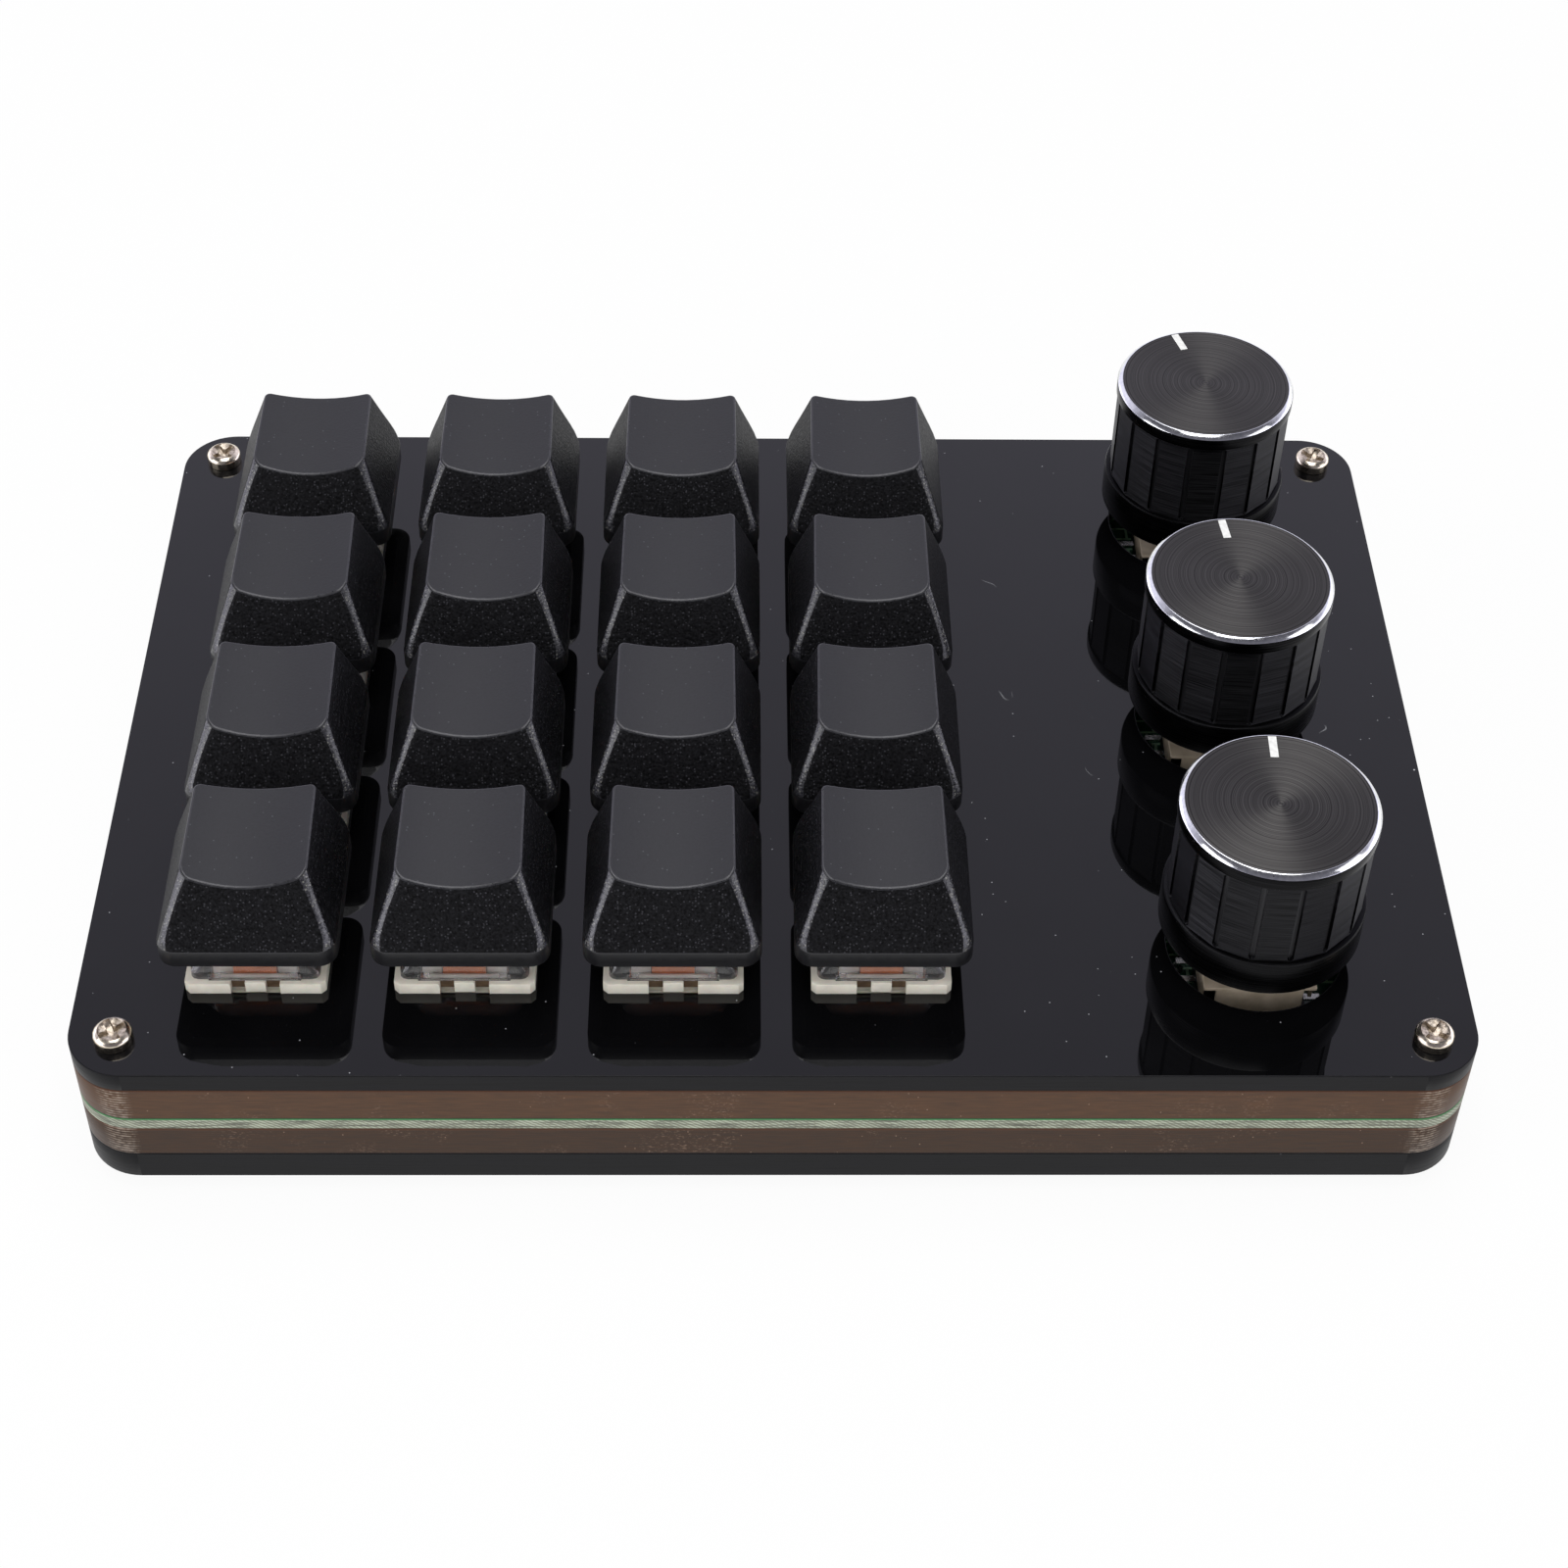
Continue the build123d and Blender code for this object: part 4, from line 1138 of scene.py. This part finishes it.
class KEYPAD_OT_switches(bpy.types.Operator):
    """Make the sixteen switches: housings, clear hoods, springs and the finish of their stems"""

    bl_idname = "keypad.switches"
    bl_label = "Switches"

    well = (10.4, 8.4, 0.4)  # width, depth and corner of the well for the stem
    housing_depth = 5.0  # how far a housing reaches below the top plate
    flange_rise = 1.5
    bore_depth = 4.2  # how far the stem's bore reaches below the stem
    floor_rise = 1.1  # thickness of the well's floor
    spring_turns = 5
    spring_steps = 16  # steps per turn
    spring_radius = 2.3

    def execute(self, context):
        size = in_mm(context.scene.keypad_sizes)
        cream, shade, resin, orange, clear, steel, brass = materials_of(
            context.scene.keypad_colours, "cream", "shade", "resin", "orange", "clear", "steel",
            "brass",
        )
        deck = level("top_plate", 1)
        bottom = deck - self.housing_depth
        rise = deck + self.flange_rise
        floor_z = bottom + self.floor_rise
        bore = level("stem_1_1", 0) - self.bore_depth
        crown = level("switch_tops", 1)
        slots, on_square = round_square(3, (0.3, 0.7))

        def ring(width, depth, radius, z):
            def place(number):
                x, y = on_square(number, width, depth, [radius] * 4)
                return Vector((x, y, z))
            return place, 0

        # the flange, with a notch and a tab in its front and back
        edge, cut, notch, tab = size.flange / 2, 0.5, 2.55, 1.05
        quarter = [
            (edge, edge - cut), (edge - cut, edge), (notch, edge), (notch, edge - 1.6),
            (tab, edge - 1.6), (tab, edge - 0.25),
        ]
        corners = quarter + [(-x, y) for x, y in reversed(quarter)]
        corners += [(-x, -y) for x, y in corners]
        # from the peg under the board up round the housing, down into the well and the stem's bore
        housing = [
            ring(3.4, 3.4, 1.7, bottom - 3.3), ring(4.0, 4.0, 2.0, bottom - 3.0),
            ring(4.0, 4.0, 2.0, bottom), ring(12.4, 12.4, 0.7, bottom),
            ring(12.9, 12.9, 0.8, bottom + 0.3), ring(13.9, 13.9, 0.5, deck - 1.0),
            ring(12.4, 12.0, 0.5, deck - 0.9), ring(12.4, 12.0, 0.5, deck + 0.02),
            ring(*self.well, deck + 0.02), ring(*self.well, floor_z),
            ring(3.2, 3.2, 1.6, floor_z), ring(3.2, 3.2, 1.6, bore),
        ]
        hood_foot, hood_top = size.hood_foot, size.hood_top
        hood = [
            ring(hood_top - 3.1, 6.0, 0.2, crown - 1.2), ring(10.0, 7.8, 0.3, crown - 1.2),
            ring(10.0, 7.8, 0.3, rise + 0.02), ring(hood_foot - 0.1, 13.1, 0.8, rise + 0.02),
            ring(hood_foot, 13.2, 0.8, rise + 0.1), ring(hood_foot - 0.1, 13.1, 0.8, rise + 0.9),
            ring(hood_foot - 1.5, 12.0, 0.9, rise + 1.9),
            ring(hood_top + 0.2, 10.0, 1.2, crown - 0.3), ring(hood_top - 0.2, 9.6, 1.1, crown),
            ring(7.3, 6.0, 0.2, crown),
        ]
        # each bar's width, depth, levels over the flange, bevel, place and material
        bars = (
            *[(2.0, 0.7, -0.2, 1.5, 0.08, side * 3.3, -4.85, 0) for side in SIDES],
            *[(0.75, 0.6, 0.1, 0.75, 0.05, side * 4.85, -5.3, 1) for side in SIDES],
            (4.4, 0.6, 0.1, 1.75, 0.08, 0, -5.5, 2),
            (7.2, 0.35, -0.2, 0.6, 0.08, 0, -6.2, 0),
            # a dull brown bar in the notch: painted shade
            (2 * notch, 0.3, 0.02 - self.flange_rise, -0.25, 0, 0, 1.1 - edge, 3),
        )
        hood_bars = (
            *[(0.3, 0.3, 0.04, 1.0, 0.05, side * 4.6, -6.62, 0) for side in SIDES],
            (9.5, 0.3, 0.03, 0.25, 0.05, 0, -6.62, 0),
        )

        def made(rows):
            return [
                painted(block(width, depth, rise + low, rise + high, *rest), material)
                for width, depth, low, high, *rest, material in rows
            ]

        lower, hoods = bmesh.new(), bmesh.new()
        for row, column in KEYS:
            x, y = axis_of(f"stem_{row}_{column}")
            flange = sheet_cut([polygon(*corners), rounded(*self.well)], deck, rise, 0.1)
            solids = (flange, lofted(slots, housing), *made(bars))
            joined(lower, *[moved(part, x, y) for part in solids])
            # the hood's last ring meets its first, so the mouth for the stem is open
            shell = lofted(slots, hood)
            lids = [face for face in shell.faces if len(face.verts) == slots]
            bmesh.ops.delete(shell, geom=lids, context="FACES_ONLY")
            ends = [item for item in shell.edges if item.is_boundary]
            bmesh.ops.bridge_loops(shell, edges=ends)
            joined(hoods, *[moved(part, x, y) for part in (tidied(shell), *made(hood_bars))])
        piece(
            "switch_bases_finish", lower, [cream, resin, orange, shade], "chassis",
            ["switch_bases"], "cream_housing",
        )
        piece(
            "switch_tops_finish", hoods, [clear], "chassis", ["switch_tops"], "clear_housing"
        )

        # a coil spring in each switch: a small ring of wire swept round and up
        wire = size.spring_wire / 2
        climb = level("switch_springs", 1) - floor_z - 2 * wire
        steps = self.spring_turns * self.spring_steps
        for row, column in KEYS:
            x, y = axis_of(f"stem_{row}_{column}")
            bm = bmesh.new()
            round_wire = bmesh.ops.create_circle(bm, segments=6, radius=wire)["verts"]
            start = Matrix.Translation((self.spring_radius, 0, floor_z + wire))
            upright = Matrix.Rotation(math.pi / 2, 4, "X")
            bmesh.ops.transform(bm, matrix=start @ upright, verts=round_wire)
            bmesh.ops.spin(
                bm, geom=bm.verts[:] + bm.edges[:], cent=(0, 0, 0), axis=(0, 0, 1),
                dvec=(0, 0, climb / steps), angle=math.tau * self.spring_turns, steps=steps,
            )
            bmesh.ops.holes_fill(bm, edges=[item for item in bm.edges if item.is_boundary])
            coil = piece(
                f"spring_{row}_{column}", moved(tidied(bm), x, y), [steel], "chassis",
                ["switch_springs"], "spring_steel", angle=60,
            )
            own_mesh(coil)
            dressed(f"stem_{row}_{column}", orange, 0.08)
        dressed("switch_contacts", brass)
        return {"FINISHED"}


class KEYPAD_OT_encoders(bpy.types.Operator):
    """Make the visible parts of the three encoders"""

    bl_idname = "keypad.encoders"
    bl_label = "Encoders"

    pitch = 0.75  # of the collar's thread
    pins = ((-7.3, -2.5), (-7.3, 0), (-7.3, 2.5), (7.3, -2.5), (7.3, 2.5))
    cone = ((0, 0), (0.85, 0), (0.75, 0.12), (0.42, 0.5), (0.3, 0.75), (0, 0.8))
    dome = ((1.7, 0.6), (0.9, 0.92), (0, 1))  # the snap dome's radii at shares of its height

    def execute(self, context):
        steel, resin, aluminium, zinc, silver, tin = materials_of(
            context.scene.keypad_colours, "steel", "resin", "aluminium", "zinc", "silver", "tin"
        )
        low, high = level("encoder_bushings", 0), level("encoder_bushings", 1)
        profile = [(3.05, low), (4.7, low), (4.7, low + 0.7), (3.5, low + 0.7)]
        z = low + 1.4
        while z < high - 0.8:
            profile += [(3.5, z), (3.2, z + 0.36)]
            z += self.pitch
        profile += [(3.5, z), (3.5, high - 0.3), (3.3, high), (3.05, high)]
        dome_low, dome_high = level("encoder_domes", 0), level("encoder_domes", 1)
        rise = dome_high - dome_low
        dome = [(0, dome_low), (2.3, dome_low), (2.3, dome_low + 0.12)]
        dome += [(radius, dome_low + share * rise) for radius, share in self.dome]
        board_top = level("circuit_board", 1)
        collars, solder = bmesh.new(), bmesh.new()
        for number in DIALS:
            x, y = axis_of(f"knob_{number}")
            joined(collars, moved(turned(profile, 40, closed=True), x, y))
            snap = piece(
                f"snap_dome_{number}", moved(turned(dome, 24), x, y), [steel], "chassis",
                ["encoder_domes"], "spring_steel", angle=60,
            )
            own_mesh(snap)
            for dx, dy in self.pins:
                joined(solder, moved(turned(self.cone, 16), x + dx, y + dy, board_top))
            dressed(f"rotor_{number}", resin, 0.05)
            dressed(f"shaft_{number}", aluminium, 0.1)
        piece(
            "encoder_collars_finish", collars, [zinc], "chassis", ["encoder_bushings"],
            "bushing_zinc",
        )
        piece("encoder_solder", solder, [silver], "chassis", [], "terminal_brass")
        dressed("encoder_covers", tin, 0.1)
        dressed("encoder_bases", resin, 0.1)
        dressed("encoder_terminals", silver, 0.05)
        return {"FINISHED"}


class KEYPAD_OT_fittings(bpy.types.Operator):
    """Make the screws, nuts, feet, socket and chip"""

    bl_idname = "keypad.fittings"
    bl_label = "Fittings"

    head_radius = 2.05
    head_side = 0.9  # height of the screw head's upright side
    head_dome = 0.95
    recess_arm, recess_reach = 0.34, 1.5  # half the width and the length of the cross recess
    in_arm = (-1.1, -0.92, -0.4, 0.4, 0.92, 1.1)  # a quarter's slots, in half widths of its arm
    per_quarter = 9
    pitch = 0.4  # of the screws' thread
    nut_flat = 4.0  # half the nut's width across its flats
    nut_bore = 2.04
    foot_inset = 14.0
    foot = ((0, 0.0), (3.6, 0.0), (4.1, 0.12), (4.42, 0.5), (4.5, 1.0), (4.5, 2.6), (0, 2.6))
    socket_outside = (8.94, 3.2, 1.2)  # width, height and corner
    socket_inside = (8.34, 2.6, 0.9)

    def execute(self, context):
        size = in_mm(context.scene.keypad_sizes)
        nickel, punched, rubber, resin, brass = materials_of(
            context.scene.keypad_colours, "nickel", "punched", "rubber", "resin", "brass"
        )
        low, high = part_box("top_plate")
        right, rear = high.x / MM, high.y / MM
        deck = level("top_plate", 1)
        in_arm, reach = self.in_arm, self.recess_reach

        # the head: a dome with a wide cross recess turned half way, so its arms make an X
        def head(radius, z=None, depth=0.0):
            def place(number):
                quarter, step = divmod(number, self.per_quarter)
                spread = math.asin(min(self.recess_arm / radius, 0.62))
                if step < len(in_arm):
                    turn = in_arm[step] * spread
                else:
                    between = (step - len(in_arm) + 1) / (self.per_quarter - len(in_arm) + 1)
                    turn = in_arm[-1] * spread + (math.pi / 2 - 2 * in_arm[-1] * spread) * between
                sunk = depth if step < len(in_arm) and abs(in_arm[step]) < 1 else 0
                arch = math.sqrt(max(1 - (radius / self.head_radius) ** 2, 0))
                height = self.head_side + self.head_dome * arch if z is None else z
                return around_axis(radius, turn + (quarter + 0.5) * math.pi / 2, height - sunk)
            return place

        edge = self.head_radius
        rings = [
            (head(1.0, 0.0), 0), (head(1.98, 0.0), 0), (head(edge, 0.07), 0),
            (head(edge, self.head_side), 0),
            *[(head(radius), 0) for radius in (2.03, 1.95, 1.82, 1.66, reach)],
            # the recess faces take the darker nickel: painted shade
            (head(reach - 0.08, 1.46, 0.3), 1), (head(1.1, 1.38, 0.5), 1),
            (head(0.7, 1.25, 0.6), 1), (head(0.45, 0.65), 1), (head(0.2, 0.55), 1),
        ]
        tip = level("screws", 0)
        thread = [(0, deck + 0.1), (1.0, deck + 0.1)]
        z = deck - 2.4
        while z > tip + 0.5:
            thread += [(1.0, z), (0.8, z - 0.2)]
            z -= self.pitch
        thread += [(0.75, tip), (0, tip)]
        corner = self.nut_flat / math.sqrt(3)
        turns = [k * math.pi / 3 for k in range(6)]
        flats = [(corner * math.cos(turn), corner * math.sin(turn)) for turn in turns]
        screws, nuts, feet = bmesh.new(), bmesh.new(), bmesh.new()
        for sx in SIDES:
            for sy in SIDES:
                x, y = sx * (right - size.screw_inset), sy * (rear - size.screw_inset)
                turn = math.radians(8 * sx + 5 * sy)
                joined(
                    screws, moved(lofted(4 * self.per_quarter, rings), x, y, deck, turn),
                    moved(turned(thread, 20), x, y),
                )
                outlines = [polygon(*flats), circle(self.nut_bore)]
                nut = sheet_cut(outlines, level("nuts", 0), level("nuts", 1), 0.12)
                joined(nuts, moved(nut, x, y, 0, turn))
                x, y = sx * (right - self.foot_inset), sy * (rear - self.foot_inset)
                joined(feet, moved(turned(self.foot, 40), x, y))
        piece(
            "screws_finish", screws, [nickel, punched], "chassis", ["screws"], "nickel_screw",
            angle=38,
        )
        piece("nuts_finish", nuts, [nickel], "chassis", ["nuts"], "nickel_screw")
        piece("feet_finish", feet, [rubber], "chassis", ["feet"], "foot_rubber")

        # the socket: a drawn shell open to the back, with a tongue that carries the contacts
        low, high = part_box("usb_socket")
        middle = (low.z + high.z) / 2 / MM
        inner, mouth = low.y / MM, high.y / MM
        outside, inside = rounded(*self.socket_outside), rounded(*self.socket_inside)
        shell = sheet_cut([outside, inside], 0.4, mouth - inner, 0.08)
        closed = sheet_cut([outside], 0.0, 1.2, 0.1)
        for part in (shell, closed):
            bmesh.ops.transform(
                part, matrix=Matrix.Rotation(-math.pi / 2, 4, "X"), verts=part.verts
            )
        tongue = painted(block(6.7, 4.9, -0.35, 0.35, 0.1, 0, 3.4), 1)
        strips = [
            painted(block(0.3, 3.4, side * 0.36 - 0.02, side * 0.36 + 0.02, 0, 0.55 * k, 3.8), 2)
            for k in range(-5, 6) for side in SIDES
        ]
        socket = moved(joined(shell, closed, tongue, *strips), 0, inner, middle)
        piece(
            "usb_socket_finish", socket, [nickel, resin, brass], "chassis", ["usb_socket"],
            "plated_steel",
        )
        dressed("controller_chip", resin, 0.1)
        return {"FINISHED"}


class KEYPAD_PT_panel(bpy.types.Panel):
    """Sizes, colours and the pieces of the keypad"""

    bl_idname = "KEYPAD_PT_panel"
    bl_label = "Keypad"
    bl_space_type = "VIEW_3D"
    bl_region_type = "UI"
    bl_category = "Keypad"

    def draw(self, context):
        layout = self.layout
        for operator in OPERATORS:
            layout.operator(operator.bl_idname)
        for group in (context.scene.keypad_sizes, context.scene.keypad_colours):
            column = layout.column()
            for name in property_names(group):
                column.prop(group, name)


OPERATORS = (
    KEYPAD_OT_stage, KEYPAD_OT_plates, KEYPAD_OT_keycaps, KEYPAD_OT_knobs, KEYPAD_OT_switches,
    KEYPAD_OT_encoders, KEYPAD_OT_fittings,
)
CLASSES = (KeypadSizes, KeypadColours, *OPERATORS, KEYPAD_PT_panel)


def register():
    for cls in CLASSES:
        bpy.utils.register_class(cls)
    bpy.types.Scene.keypad_sizes = PointerProperty(type=KeypadSizes)
    bpy.types.Scene.keypad_colours = PointerProperty(type=KeypadColours)


def unregister():
    del bpy.types.Scene.keypad_colours
    del bpy.types.Scene.keypad_sizes
    for cls in reversed(CLASSES):
        bpy.utils.unregister_class(cls)


def main():
    register()
    bpy.ops.keypad.stage()
    bpy.ops.keypad.plates()
    bpy.ops.keypad.keycaps()
    bpy.ops.keypad.knobs()
    bpy.ops.keypad.switches()
    bpy.ops.keypad.encoders()
    bpy.ops.keypad.fittings()


if __name__ == "__main__":
    main()
